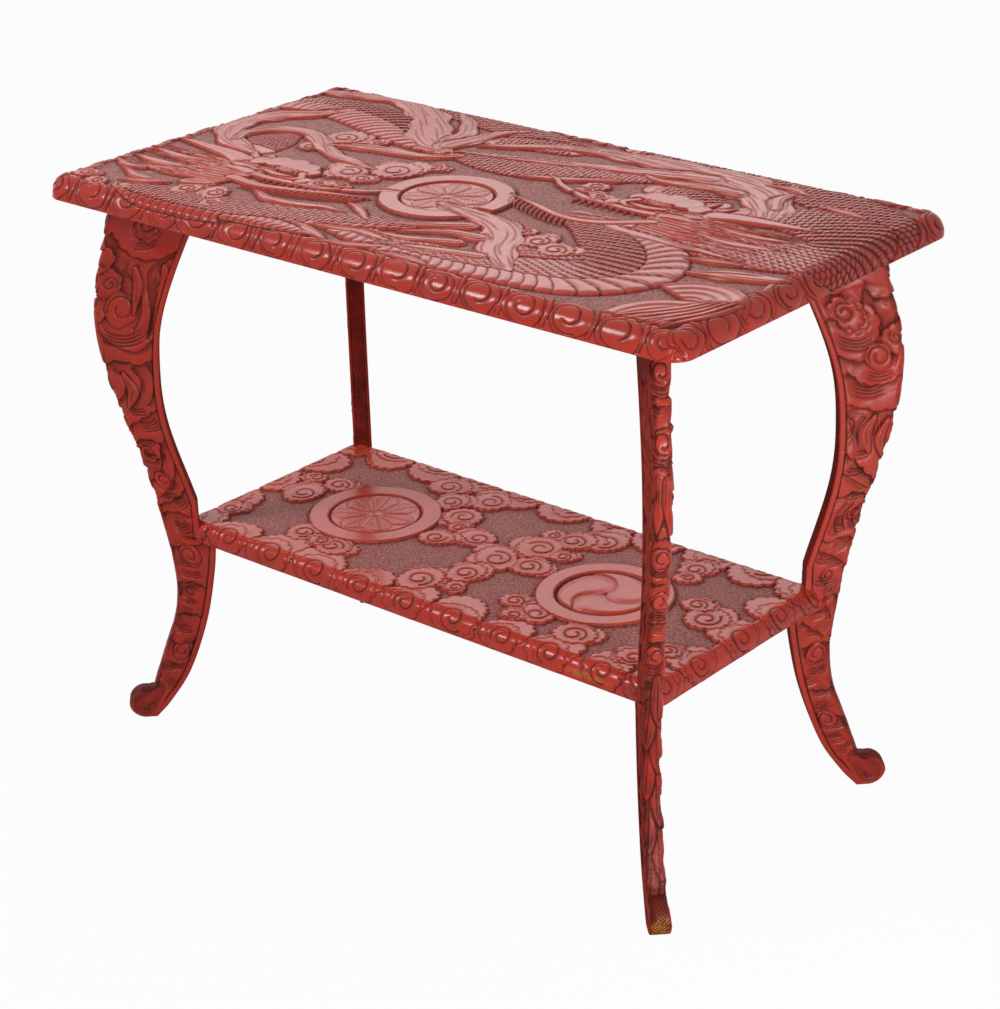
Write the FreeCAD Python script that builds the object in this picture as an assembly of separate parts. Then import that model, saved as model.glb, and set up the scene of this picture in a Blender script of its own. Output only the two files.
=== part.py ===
"""A carved red lacquer table: a dragon top and a cloud shelf, carried by four flat S-shaped legs set on the diagonals.

Millimetres, +Z up, X along the top, origin on the floor under the middle of the table.
"""

import FreeCAD
import Part
import math
import os

# Overall sizes
TABLE_HEIGHT = 711.0
TOP_LENGTH = 916.0
TOP_WIDTH = 506.0
TOP_THICK = 28.0
TOP_CORNER = 27.0
TOP_ROUND = 25.0

SHELF_THICK = 25.0
SHELF_CORNER = 12.0
SHELF_ROUND = 17.0
SHELF_HEIGHT = 265.0

UNDER_ROUND = 2.0

# Sunk field between the cloud border and the rings and dragons that stand in it
TOP_FIELD_DEPTH = 4.5
SHELF_FIELD_DEPTH = 3.0
TOP_BORDER = 34.0
SHELF_BORDER = 26.0
LOBE_PITCH = 46.0
LOBE_DEPTH = 9.0

TOP_RING = (-21.0, -37.0)
TOP_RING_OUTER = 75.0
TOP_RING_INNER = 52.0
SHELF_RING_SHARE = 0.244
SHELF_RING_BACK = -8.0
SHELF_RING_OUTER = 82.0
SHELF_RING_INNER = 58.0

# Main forms of the two dragons, each a band along a spine of (x, y, half width)
FORM_DROP = 0.8
REAR_COIL = ((-300.0, 240.0, 22.0), (-190.0, 228.0, 26.0), (-95.0, 210.0, 26.0), (-22.0, 191.0, 20.0))
LEFT_COIL = ((-440.0, 140.0, 22.0), (-400.0, 160.0, 33.0), (-345.0, 162.0, 39.0), (-285.0, 150.0, 41.0),
             (-232.0, 128.0, 35.0), (-185.0, 108.0, 25.0), (-142.0, 97.0, 13.0))
MIDDLE_COIL = ((-118.0, 97.0, 14.0), (-60.0, 100.0, 31.0), (0.0, 112.0, 37.0), (60.0, 136.0, 35.0),
               (108.0, 159.0, 25.0))
REAR_TAIL = ((40.0, 238.0, 17.0), (160.0, 231.0, 23.0), (262.0, 219.0, 27.0), (352.0, 198.0, 35.0),
             (410.0, 176.0, 35.0), (470.0, 150.0, 27.0))
RIGHT_COIL = ((290.0, 116.0, 26.0), (352.0, 128.0, 34.0), (404.0, 114.0, 36.0), (430.0, 66.0, 38.0),
              (404.0, 20.0, 36.0), (346.0, 4.0, 36.0), (270.0, 6.0, 24.0))
FRONT_COIL = ((140.0, -6.0, 20.0), (200.0, -26.0, 40.0), (258.0, -62.0, 48.0), (288.0, -114.0, 48.0),
              (262.0, -160.0, 46.0), (200.0, -182.0, 41.0), (124.0, -196.0, 33.0), (44.0, -198.0, 27.0),
              (-38.0, -186.0, 19.0))
FRONT_TAIL = ((-350.0, -222.0, 14.0), (-312.0, -222.0, 27.0), (-246.0, -218.0, 33.0),
              (-180.0, -210.0, 35.0), (-116.0, -188.0, 31.0), (-56.0, -164.0, 25.0), (8.0, -141.0, 14.0))
LEFT_FLAME = ((-440.0, 207.0, 9.0), (-380.0, 222.0, 14.0), (-320.0, 231.0, 18.0), (-275.0, 212.0, 23.0),
              (-232.0, 176.0, 25.0), (-198.0, 140.0, 29.0), (-168.0, 114.0, 24.0))
LEFT_TONGUE = ((-160.0, 128.0, 14.0), (-172.0, 172.0, 12.0), (-196.0, 206.0, 10.0), (-222.0, 228.0, 5.0))
MIDDLE_TONGUE = ((-152.0, 116.0, 16.0), (-142.0, 160.0, 13.0), (-132.0, 194.0, 9.0), (-110.0, 214.0, 4.0))
LEFT_TRAIL = ((-350.0, 164.0, 4.0), (-372.0, 128.0, 13.0), (-412.0, 92.0, 19.0), (-424.0, 40.0, 20.0),
              (-404.0, 0.0, 19.0), (-360.0, -26.0, 15.0), (-318.0, -43.0, 5.0))
CLOUD_TRAIL = ((-380.0, -8.0, 6.0), (-388.0, 20.0, 9.0), (-362.0, 52.0, 12.0), (-318.0, 58.0, 12.0),
               (-280.0, 36.0, 12.0), (-240.0, 10.0, 11.0), (-200.0, 2.0, 9.0), (-162.0, -7.0, 4.0))
SPARK_TRAIL = ((-262.0, 37.0, 5.0), (-232.0, 52.0, 11.0), (-196.0, 60.0, 12.0), (-160.0, 62.0, 10.0),
               (-132.0, 74.0, 8.0), (-110.0, 90.0, 5.0))
RIGHT_FLAME = ((312.0, 104.0, 16.0), (290.0, 142.0, 25.0), (258.0, 176.0, 31.0), (206.0, 196.0, 33.0),
               (140.0, 204.0, 29.0), (80.0, 206.0, 21.0), (20.0, 204.0, 14.0), (-40.0, 188.0, 11.0),
               (-86.0, 160.0, 7.0), (-116.0, 140.0, 3.0))
RIGHT_TONGUE = ((180.0, 188.0, 14.0), (110.0, 172.0, 15.0), (40.0, 150.0, 11.0), (-20.0, 130.0, 8.0),
                (-64.0, 114.0, 3.0))
CLAW = ((-6.0, -60.0, 6.0), (30.0, -64.0, 13.0), (78.0, -76.0, 19.0), (116.0, -104.0, 25.0),
        (140.0, -142.0, 21.0), (168.0, -168.0, 13.0), (192.0, -187.0, 5.0))
CLAW_TIP = ((64.0, -100.0, 11.0), (30.0, -122.0, 10.0), (-4.0, -141.0, 4.0))
CLAW_HEEL = ((140.0, -172.0, 10.0), (96.0, -182.0, 9.0), (54.0, -192.0, 4.0))
LEFT_HEAD = ((-330.0, -68.0, 14.0), (-285.0, -66.0, 34.0), (-230.0, -72.0, 42.0), (-170.0, -88.0, 34.0),
             (-135.0, -94.0, 20.0), (-110.0, -90.0, 10.0))
LEFT_HORN = ((-318.0, -68.0, 14.0), (-341.0, -59.0, 12.0), (-396.0, -53.0, 7.0), (-430.0, -50.0, 3.0))
LEFT_MANE = ((-300.0, -92.0, 38.0), (-350.0, -100.0, 36.0), (-400.0, -104.0, 24.0), (-430.0, -104.0, 10.0))
LEFT_JAW = ((-272.0, -127.0, 10.0), (-222.0, -135.0, 14.0), (-180.0, -128.0, 14.0), (-127.0, -110.0, 10.0),
            (-92.0, -96.0, 4.0))
RIGHT_HEAD = ((276.0, 82.0, 14.0), (231.0, 84.0, 34.0), (176.0, 70.0, 42.0), (116.0, 50.0, 34.0),
              (81.0, 44.0, 20.0), (56.0, 42.0, 10.0))
RIGHT_HORN = ((264.0, 82.0, 14.0), (287.0, 91.0, 12.0), (342.0, 97.0, 7.0), (376.0, 100.0, 3.0))
RIGHT_MANE = ((246.0, 50.0, 38.0), (296.0, 44.0, 36.0), (346.0, 40.0, 24.0), (376.0, 42.0, 10.0))
RIGHT_JAW = ((218.0, 23.0, 10.0), (168.0, -16.0, 14.0), (126.0, -24.0, 14.0), (73.0, -6.0, 10.0),
             (38.0, 9.0, 4.0))
LEAF = ((348.0, -84.0, 5.0), (384.0, -66.0, 15.0), (424.0, -54.0, 10.0))
UPPER_SHELL = ((348.0, -142.0, 8.0), (380.0, -122.0, 20.0), (420.0, -122.0, 20.0), (446.0, -138.0, 8.0))
LOWER_SHELL = ((352.0, -214.0, 10.0), (376.0, -190.0, 24.0), (404.0, -170.0, 20.0), (420.0, -158.0, 8.0))
DRAGON_FORMS = (REAR_COIL, LEFT_COIL, MIDDLE_COIL, REAR_TAIL, RIGHT_COIL, FRONT_COIL, FRONT_TAIL,
                LEFT_FLAME, LEFT_TONGUE, MIDDLE_TONGUE, LEFT_TRAIL, CLOUD_TRAIL, SPARK_TRAIL, RIGHT_FLAME,
                RIGHT_TONGUE, CLAW, CLAW_TIP, CLAW_HEEL, LEFT_HEAD, LEFT_HORN, LEFT_MANE, LEFT_JAW,
                RIGHT_HEAD, RIGHT_HORN, RIGHT_MANE, RIGHT_JAW, LEAF, UPPER_SHELL, LOWER_SHELL)

# Rosette in the ring of the top, and the clouds between the dragons, each a low boss at (x, y) with a radius
TOP_BOSSES = ((-21.0, -37.0, 46.0), (-270.0, 70.0, 28.0), (-132.0, 8.0, 33.0), (-180.0, -28.0, 28.0),
              (160.0, -94.0, 21.0), (195.0, -108.0, 23.0), (-280.0, -186.0, 19.0), (-246.0, -178.0, 20.0))

# Boards, edge to edge on loose tongues
TOP_BOARDS = ("front", "centre", "rear")
SHELF_BOARDS = ("front", "rear")
TONGUE_WIDTH = 20.0
TONGUE_THICK = 7.0
TONGUE_STOP = 70.0

# Legs: flat boards that stand on the diagonals, one under each corner
FOOT_INSET_END = 56.0
FOOT_INSET_SIDE = 47.0
LEG_ANGLE = 45.0
LEG_THICK = 24.0
SOLE_LENGTH = 14.0
TOE_REACH = 22.0
TOE_HEIGHT = 40.0
CREASE_REACH = -9.0
SCROLL_EYE_RADIUS = 13.0
SCROLL_EYE_DEPTH = 2.0

# Outline of a leg, as (reach outwards from the middle of its sole, share of its height)
LEG_FRONT = ((-6.0, 1.0), (12.5, 0.896), (25.0, 0.787), (14.0, 0.662), (-23.0, 0.48),
             (-45.5, 0.31), (-44.5, 0.215), (-23.0, 0.12))
LEG_BACK_UPPER = ((-123.0, 1.0), (-90.0, 0.911), (-57.0, 0.785), (-48.0, 0.68), (-53.0, 0.571))
LEG_BACK_LOWER = ((-96.0, 0.285), (-83.0, 0.192), (-59.0, 0.095), (-32.0, 0.033))

ARC_FIT = 0.5

# Shelf seat: the leg is cut back to a square shoulder over a ledge, and the shelf corner is slotted round it
SHOULDER_REACH = -81.0
SHOULDER_RISE = 24.0
LEDGE_REACH = -101.0
SHELF_WRAP_END = 22.0
SHELF_WRAP_SIDE = 12.0
SLOT_CLEARANCE = 0.25
DOWEL_DIAMETER = 9.0
DOWEL_LENGTH = 36.0

# Blind wedged tenon on the head of each leg
TENON_LENGTH = 70.0
TENON_THICK = 11.0
TENON_HEIGHT = 16.0
TENON_FLARE = 2.0
WEDGE_WIDTH = 4.0
WEDGE_DEPTH = 13.0
WEDGE_INSET = 10.0
MORTISE_ROOM = 0.5

FOOT_X = TOP_LENGTH / 2 - FOOT_INSET_END
FOOT_Y = TOP_WIDTH / 2 - FOOT_INSET_SIDE
SHOULDER_X = FOOT_X + SHOULDER_REACH * math.cos(math.radians(LEG_ANGLE))
SHOULDER_Y = FOOT_Y + SHOULDER_REACH * math.sin(math.radians(LEG_ANGLE))
SHELF_LENGTH = 2 * (SHOULDER_X + SHELF_WRAP_END)
SHELF_WIDTH = 2 * (SHOULDER_Y + SHELF_WRAP_SIDE)
SHELF_RING_SPREAD = SHELF_LENGTH * SHELF_RING_SHARE
LEG_HEIGHT = TABLE_HEIGHT - TOP_THICK
SHELF_UNDERSIDE = SHELF_HEIGHT - SHELF_THICK
HEAD_MIDDLE = (LEG_FRONT[0][0] + LEG_BACK_UPPER[0][0]) / 2
CORNERS = {"front_left": (-1, -1), "front_right": (1, -1), "rear_right": (1, 1), "rear_left": (-1, 1)}

UP = FreeCAD.Vector(0, 0, 1)


def vec(x, y, z=0.0):
    return FreeCAD.Vector(x, y, z)


# Placing a piece of one leg: drawn with X outwards from the sole, Y across the thickness, Z up
def on_corner(shape, side_x, side_y):
    turn = math.degrees(math.atan2(side_y * math.sin(math.radians(LEG_ANGLE)),
                                   side_x * math.cos(math.radians(LEG_ANGLE))))
    placed = shape.copy()
    placed.rotate(vec(0, 0), UP, turn)
    placed.translate(vec(side_x * FOOT_X, side_y * FOOT_Y))
    return placed


def on_every_corner(shape):
    return [on_corner(shape, *sides) for sides in CORNERS.values()]


def block(x0, x1, y0, y1, z0, z1):
    return Part.makeBox(x1 - x0, y1 - y0, z1 - z0, vec(x0, y0, z0))


def face_of(edges):
    return Part.Face(Part.Wire(Part.__sortEdges__(edges)))


def across_leg(edges, thick):
    middle = face_of(edges).extrude(vec(0, thick, 0))
    middle.translate(vec(0, -thick / 2, 0))
    return middle


def polygon_across_leg(points, thick):
    corners = [vec(x, 0, z) for x, z in points]
    loop = corners[1:] + corners[:1]
    return across_leg([Part.makeLine(a, b) for a, b in zip(corners, loop)], thick)


# Slabs
def rounded_slab(length, width, thick, corner, height):
    """A board with rounded corners, its underside at z = height - thick."""
    slab = block(-length / 2, length / 2, -width / 2, width / 2, height - thick, height)
    upright = [e for e in slab.Edges if abs(e.Vertexes[0].Z - e.Vertexes[1].Z) > thick / 2]
    return slab.makeFillet(corner, upright)


def eased_edge(slab, radius, level):
    around = [e for e in slab.Edges if abs(e.BoundBox.ZMin - level) < 1e-6 and abs(e.BoundBox.ZMax - level) < 1e-6]
    return slab.makeFillet(radius, around)


def scalloped_side(start, end, inward):
    """Cloud lobes along one side of the field, each one an arc that bulges into it."""
    count = max(1, round((end - start).Length / LOBE_PITCH))
    step = (end - start) / count
    lobes = []
    for k in range(count):
        left = start + step * k
        right = start + step * (k + 1)
        lobes.append(Part.Arc(left, (left + right) / 2 + inward * LOBE_DEPTH, right).toShape())
    return lobes


def sweep(points):
    """A smooth run of arcs, each one tangent to the next, close to the curve through the points."""
    line = Part.BSplineCurve()
    line.interpolate(points)
    return [arc.toShape() for arc in line.toBiArcs(ARC_FIT)]


def raised_form(spine, floor, depth):
    """One tapering band of a dragon, standing on the floor of the field."""
    left = []
    right = []
    for k, (x, y, half) in enumerate(spine):
        before = spine[max(k - 1, 0)]
        after = spine[min(k + 1, len(spine) - 1)]
        along = vec(after[0] - before[0], after[1] - before[1])
        side = vec(-along.y, along.x) * (half / along.Length)
        left.append(vec(x, y, floor) + side)
        right.append(vec(x, y, floor) - side)
    right.reverse()
    edges = sweep(left) + sweep(right)
    edges.append(Part.makeLine(left[-1], right[0]))
    edges.append(Part.makeLine(right[-1], left[0]))
    return face_of(edges).extrude(UP * depth)


def sunk_field(length, width, level, depth, rings, bosses, forms):
    """What the carver takes away round the rings, bosses and forms: the scalloped field, down to its depth."""
    floor = level - depth
    corners = [vec(x * length / 2, y * width / 2, floor) for x, y in ((-1, -1), (1, -1), (1, 1), (-1, 1))]
    inward = (vec(0, 1), vec(-1, 0), vec(0, -1), vec(1, 0))
    lobes = []
    for k in range(4):
        lobes += scalloped_side(corners[k], corners[(k + 1) % 4], inward[k])
    field = face_of(lobes).extrude(UP * (depth * 2))
    for centre, outer, inner in rings:
        foot = vec(centre[0], centre[1], floor)
        ring = Part.makeCylinder(outer, depth, foot).cut(Part.makeCylinder(inner, depth, foot))
        field = field.cut(ring)
    for x, y, radius in bosses:
        field = field.cut(Part.makeCylinder(radius, depth - FORM_DROP, vec(x, y, floor)))
    for spine in forms:
        field = field.cut(raised_form(spine, floor, depth - FORM_DROP))
    return field


def carved_slab(length, width, thick, corner, edge_round, border, level, depth, rings, bosses, forms):
    slab = rounded_slab(length, width, thick, corner, level)
    slab = eased_edge(slab, edge_round, level)
    slab = eased_edge(slab, UNDER_ROUND, level - thick)
    return slab.cut(sunk_field(length - 2 * border, width - 2 * border, level, depth, rings, bosses, forms))


# Boards and tongues
def tongue(length, seam, level, thick):
    middle = level - thick / 2
    reach = length / 2 - TONGUE_STOP
    return block(-reach, reach, seam - TONGUE_WIDTH / 2, seam + TONGUE_WIDTH / 2,
                 middle - TONGUE_THICK / 2, middle + TONGUE_THICK / 2)


def board_seams(width, count):
    return [-width / 2 + width * k / count for k in range(1, count)]


def sawn_boards(slab, length, width, thick, level, names):
    """The slab parted along its seams, from the front board to the rear one."""
    edges = [-width / 2, *board_seams(width, len(names)), width / 2]
    boards = {}
    for name, low, high in zip(names, edges, edges[1:]):
        boards[name] = slab.common(block(-length / 2, length / 2, low, high, level - thick, level))
    return boards


# Legs
def outline_point(reach, share):
    return vec(reach, 0, share * LEG_HEIGHT)


def leg_outline():
    roll = TOE_HEIGHT / 2
    crease = vec(CREASE_REACH, 0, TOE_HEIGHT)
    roll_top = vec(TOE_REACH - roll, 0, TOE_HEIGHT)
    sole_front = vec(TOE_REACH - roll, 0, 0)
    sole_back = vec(TOE_REACH - roll - SOLE_LENGTH, 0, 0)
    shoulder_top = vec(SHOULDER_REACH, 0, SHELF_HEIGHT + SHOULDER_RISE)
    shoulder_foot = vec(SHOULDER_REACH, 0, SHELF_UNDERSIDE)
    ledge = vec(LEDGE_REACH, 0, SHELF_UNDERSIDE)
    front = [outline_point(*p) for p in LEG_FRONT] + [crease]
    back_upper = [outline_point(*p) for p in LEG_BACK_UPPER] + [shoulder_top]
    back_lower = [ledge] + [outline_point(*p) for p in LEG_BACK_LOWER] + [sole_back]
    return [
        *sweep(front),
        Part.makeLine(crease, roll_top),
        Part.Arc(roll_top, vec(TOE_REACH, 0, roll), sole_front).toShape(),
        Part.makeLine(sole_front, sole_back),
        *sweep(back_lower),
        Part.makeLine(ledge, shoulder_foot),
        Part.makeLine(shoulder_foot, shoulder_top),
        *sweep(back_upper),
        Part.makeLine(back_upper[0], front[0]),
    ]


def scroll_eye(side):
    """The sunk eye of the foot's scroll, on one broad face."""
    face = side * LEG_THICK / 2
    middle = vec(TOE_REACH - TOE_HEIGHT / 2, face - side * SCROLL_EYE_DEPTH, TOE_HEIGHT / 2)
    return Part.makeCylinder(SCROLL_EYE_RADIUS, SCROLL_EYE_DEPTH, middle, vec(0, side, 0))


def wedge_outline(end):
    """A thin wedge that spreads one end of the tenon; end is -1 inwards and 1 outwards."""
    middle = HEAD_MIDDLE + end * (TENON_LENGTH / 2 - WEDGE_INSET)
    top = LEG_HEIGHT + TENON_HEIGHT
    return ((middle - WEDGE_WIDTH / 2, top), (middle + WEDGE_WIDTH / 2, top), (middle, top - WEDGE_DEPTH))


def wedges():
    return [polygon_across_leg(wedge_outline(end), TENON_THICK) for end in (-1, 1)]


def tenon(extra_height=0.0):
    """The spread tenon, or with extra height the undercut mortise that holds it."""
    low = LEG_HEIGHT
    high = LEG_HEIGHT + TENON_HEIGHT
    half = TENON_LENGTH / 2
    spread = half + TENON_FLARE
    outline = [
        (HEAD_MIDDLE - half, low),
        (HEAD_MIDDLE + half, low),
        (HEAD_MIDDLE + spread, high),
        (HEAD_MIDDLE + spread, high + extra_height),
        (HEAD_MIDDLE - spread, high + extra_height),
        (HEAD_MIDDLE - spread, high),
    ]
    if not extra_height:
        del outline[3:5]
    return polygon_across_leg(outline, TENON_THICK)


def shelf_dowel():
    middle = SHELF_UNDERSIDE + SHELF_THICK / 2
    start = vec(SHOULDER_REACH - DOWEL_LENGTH / 2, 0, middle)
    return Part.makeCylinder(DOWEL_DIAMETER / 2, DOWEL_LENGTH, start, vec(1, 0, 0))


def leg():
    board = across_leg(leg_outline(), LEG_THICK)
    for side in (-1, 1):
        board = board.cut(scroll_eye(side))
    board = board.fuse(tenon())
    for wedge in wedges():
        board = board.cut(wedge)
    return board.cut(shelf_dowel()).removeSplitter()


def shelf_slot():
    """The slot in a shelf corner that takes the leg, out past the corner."""
    half = LEG_THICK / 2 + SLOT_CLEARANCE
    return block(SHOULDER_REACH, TOP_WIDTH / 2, -half, half, SHELF_UNDERSIDE - 1, SHELF_HEIGHT + 1)


# The two carved slabs, cut for what goes into them
def top_boards():
    ring = (TOP_RING, TOP_RING_OUTER, TOP_RING_INNER)
    slab = carved_slab(TOP_LENGTH, TOP_WIDTH, TOP_THICK, TOP_CORNER, TOP_ROUND, TOP_BORDER, TABLE_HEIGHT,
                       TOP_FIELD_DEPTH, [ring], TOP_BOSSES, DRAGON_FORMS)
    for mortise in on_every_corner(tenon(MORTISE_ROOM)):
        slab = slab.cut(mortise)
    for seam in board_seams(TOP_WIDTH, len(TOP_BOARDS)):
        slab = slab.cut(tongue(TOP_LENGTH, seam, TABLE_HEIGHT, TOP_THICK))
    return sawn_boards(slab, TOP_LENGTH, TOP_WIDTH, TOP_THICK, TABLE_HEIGHT, TOP_BOARDS)


def shelf_boards():
    rings = [((side * SHELF_RING_SPREAD, SHELF_RING_BACK), SHELF_RING_OUTER, SHELF_RING_INNER) for side in (-1, 1)]
    slab = carved_slab(SHELF_LENGTH, SHELF_WIDTH, SHELF_THICK, SHELF_CORNER, SHELF_ROUND, SHELF_BORDER,
                       SHELF_HEIGHT, SHELF_FIELD_DEPTH, rings, (), ())
    for cutter in on_every_corner(shelf_slot()) + on_every_corner(shelf_dowel()):
        slab = slab.cut(cutter)
    for seam in board_seams(SHELF_WIDTH, len(SHELF_BOARDS)):
        slab = slab.cut(tongue(SHELF_LENGTH, seam, SHELF_HEIGHT, SHELF_THICK))
    return sawn_boards(slab, SHELF_LENGTH, SHELF_WIDTH, SHELF_THICK, SHELF_HEIGHT, SHELF_BOARDS)


def table():
    pieces = {}
    for name, board in top_boards().items():
        pieces["top_board_" + name] = board
    for name, board in shelf_boards().items():
        pieces["shelf_board_" + name] = board
    for name, seam in zip(("front", "rear"), board_seams(TOP_WIDTH, len(TOP_BOARDS))):
        pieces["top_tongue_" + name] = tongue(TOP_LENGTH, seam, TABLE_HEIGHT, TOP_THICK)
    for seam in board_seams(SHELF_WIDTH, len(SHELF_BOARDS)):
        pieces["shelf_tongue"] = tongue(SHELF_LENGTH, seam, SHELF_HEIGHT, SHELF_THICK)
    leg_board = leg()
    tenon_wedges = Part.makeCompound(wedges())
    dowel = shelf_dowel()
    for name, sides in CORNERS.items():
        pieces["leg_" + name] = on_corner(leg_board, *sides)
        pieces["tenon_wedges_" + name] = on_corner(tenon_wedges, *sides)
        pieces["shelf_dowel_" + name] = on_corner(dowel, *sides)
    return pieces


def main():
    os.makedirs("parts", exist_ok=True)
    for name, shape in table().items():
        shape.exportStep(os.path.join("parts", name + ".step"))
        print(name, len(shape.Solids), "solids", round(shape.Volume / 1000, 1), "cm3", shape.isValid())


main()
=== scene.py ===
import bpy
import bmesh
import math
import numpy as np
from mathutils import Matrix, Vector


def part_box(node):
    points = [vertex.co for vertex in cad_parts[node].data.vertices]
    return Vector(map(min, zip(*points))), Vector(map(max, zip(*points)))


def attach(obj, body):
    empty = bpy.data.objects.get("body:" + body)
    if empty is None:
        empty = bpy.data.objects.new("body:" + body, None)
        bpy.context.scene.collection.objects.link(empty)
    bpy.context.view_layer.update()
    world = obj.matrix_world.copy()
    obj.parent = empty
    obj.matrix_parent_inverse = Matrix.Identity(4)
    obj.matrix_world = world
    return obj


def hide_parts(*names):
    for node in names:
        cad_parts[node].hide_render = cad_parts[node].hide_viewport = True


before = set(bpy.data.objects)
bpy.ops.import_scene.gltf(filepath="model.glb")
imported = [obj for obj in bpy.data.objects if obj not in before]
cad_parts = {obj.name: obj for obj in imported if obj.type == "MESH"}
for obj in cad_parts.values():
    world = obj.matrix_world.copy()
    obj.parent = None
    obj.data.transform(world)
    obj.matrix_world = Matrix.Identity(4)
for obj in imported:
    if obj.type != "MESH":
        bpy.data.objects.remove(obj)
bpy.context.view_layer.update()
mm = 0.001
weld = 2e-6  # metres: corners closer than this become one
print("frame loaded", len(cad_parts), "nodes")


def slabSize(boards):  # the size in mm of the slab that the boards of this name make in the frame
    corners = np.array([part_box(node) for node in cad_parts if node.startswith(boards)]) / mm
    low, high = corners.min((0, 1)), corners.max((0, 1))
    long, wide, thick = (round(float(size), 1) for size in high - low)
    return {"length": long, "width": wide, "thick": thick, "level": round(float(high[2]), 1)}


# carving tools

def softStep(t):
    t = np.clip(t, 0, 1)
    return t * t * (3 - 2 * t)


def bell(t):
    return np.exp(-t * t)


def boxBlur(field, size):  # three box passes, close to a Gaussian
    n = max(1, int(size))
    for axis in (0, 1):
        for _ in range(3):
            pad = [(0, 0), (0, 0)]
            pad[axis] = (n + 1, n)
            total = np.cumsum(np.pad(field, pad, mode="edge"), axis=axis, dtype=np.float64)
            high = np.take(total, range(2 * n + 1, total.shape[axis]), axis=axis)
            low = np.take(total, range(0, total.shape[axis] - 2 * n - 1), axis=axis)
            field = ((high - low) / (2 * n + 1)).astype(np.float32)
    return field


class CarvedPanel:  # a drawing in mm that cuts go into: 0 is the ground, up stands proud
    def __init__(self, low, high, step):
        self.step = step
        self.x = np.arange(low[0], high[0] + step, step, dtype=np.float32)
        self.y = np.arange(low[1], high[1] + step, step, dtype=np.float32)
        self.height = np.zeros((len(self.y), len(self.x)), np.float32)
        self.ground = np.ones_like(self.height)
        self.ink = np.zeros_like(self.height)  # where the dark of a cut line stays

    def window(self, x0, x1, y0, y1):
        i = [int(np.clip((v - self.x[0]) / self.step, 0, len(self.x))) for v in (x0, x1 + self.step)]
        j = [int(np.clip((v - self.y[0]) / self.step, 0, len(self.y))) for v in (y0, y1 + self.step)]
        return slice(*j), slice(*i)

    def places(self, win):
        return np.meshgrid(self.x[win[1]], self.y[win[0]])

    def lay(self, win, lift, height, moat=None, ink=0.0):  # the new shape covers what lies under it
        under = self.height[win]
        if moat is not None:
            under = under - moat
            self.ink[win] = np.maximum(self.ink[win], np.clip(0.95 * moat - 0.25, 0, 1))
        self.ink[win] = self.ink[win] * (1 - lift) + ink * lift
        self.height[win] = np.maximum(under + (height - under) * lift, -0.6)
        self.ground[win] *= 1 - lift

    def sample(self, field, x, y):
        fx = np.clip((x - self.x[0]) / self.step, 0, len(self.x) - 1.001)
        fy = np.clip((y - self.y[0]) / self.step, 0, len(self.y) - 1.001)
        i, j = fx.astype(int), fy.astype(int)
        fx, fy = fx - i, fy - j
        near = field[j, i] * (1 - fx) + field[j, i + 1] * fx
        far = field[j + 1, i] * (1 - fx) + field[j + 1, i + 1] * fx
        return near * (1 - fy) + far * fy

    def finish(self):  # the painted shade in recesses and cut lines, and the raised ridges, that the lacquer colour follows
        wide = boxBlur(self.height, 4.5 / self.step)
        near = boxBlur(self.height, 1.3 / self.step)
        self.cut = np.clip(np.maximum((wide - self.height) / 2.3, (near - self.height) / 0.8), 0, 1)
        self.cut = np.maximum(self.cut, 0.95 * self.ink)
        self.proud = np.clip((self.height - near) / 0.55, 0, 1)


def smoothLine(points, step):  # a smooth run through (x, y, half width) points
    p = np.array(points, float)
    p = np.vstack([2 * p[0] - p[1], p, 2 * p[-1] - p[-2]])
    out = []
    for a, b, c, d in zip(p, p[1:], p[2:], p[3:]):
        n = max(2, int(np.hypot(*(c - b)[:2]) / step))
        t = np.linspace(0, 1, n, endpoint=False)[:, None]
        out.append(0.5 * (2 * b + (c - a) * t + (2 * a - 5 * b + 4 * c - d) * t ** 2
                          + (3 * b - a - 3 * c + d) * t ** 3))
    out.append(p[-2:-1])
    return np.vstack(out)


def runAlong(line):  # how far along a line each of its points lies
    return np.r_[0, np.cumsum(np.hypot(*np.diff(line[:, :2], axis=0).T))]


class Trace:  # for places near a line: how far off, on which side, how far along, how wide it is there
    def __init__(self, panel, points, reach, step=2.5):
        line = smoothLine(points, step)
        run = runAlong(line)
        edge = line[:, 2].max() + reach
        low, high = line[:, :2].min(0) - edge, line[:, :2].max(0) + edge
        self.win = panel.window(low[0], high[0], low[1], high[1])
        x, y = panel.places(self.win)
        self.off = np.full(x.shape, 1e6, np.float32)
        self.along = np.zeros_like(self.off)
        self.side = np.ones_like(self.off)
        self.wide = np.ones_like(self.off)
        self.length = run[-1]
        if x.size == 0:
            return
        for k in range(len(line) - 1):
            (ax, ay, aw), (bx, by, bw) = line[k], line[k + 1]
            m = max(aw, bw) + reach
            part = (slice(*np.searchsorted(y[:, 0], (min(ay, by) - m, max(ay, by) + m))),
                    slice(*np.searchsorted(x[0], (min(ax, bx) - m, max(ax, bx) + m))))
            dx, dy = x[part] - ax, y[part] - ay
            ex, ey = bx - ax, by - ay
            size = max(ex * ex + ey * ey, 1e-9)
            t = np.clip((dx * ex + dy * ey) / size, 0, 1)
            off = np.hypot(dx - ex * t, dy - ey * t)
            closer = off < self.off[part]
            self.off[part] = np.where(closer, off, self.off[part])
            self.along[part] = np.where(closer, run[k] + t * math.sqrt(size), self.along[part])
            self.side[part] = np.where(closer, np.where(ex * dy - ey * dx >= 0, 1, -1), self.side[part])
            self.wide[part] = np.where(closer, aw + (bw - aw) * t, self.wide[part])
        self.inside = self.wide - self.off


def moatOf(inside, depth, width=1.4):  # the cut that sets a shape off from what lies behind it
    return depth * bell(np.minimum(inside, 0) / width) * (inside < width)


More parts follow.
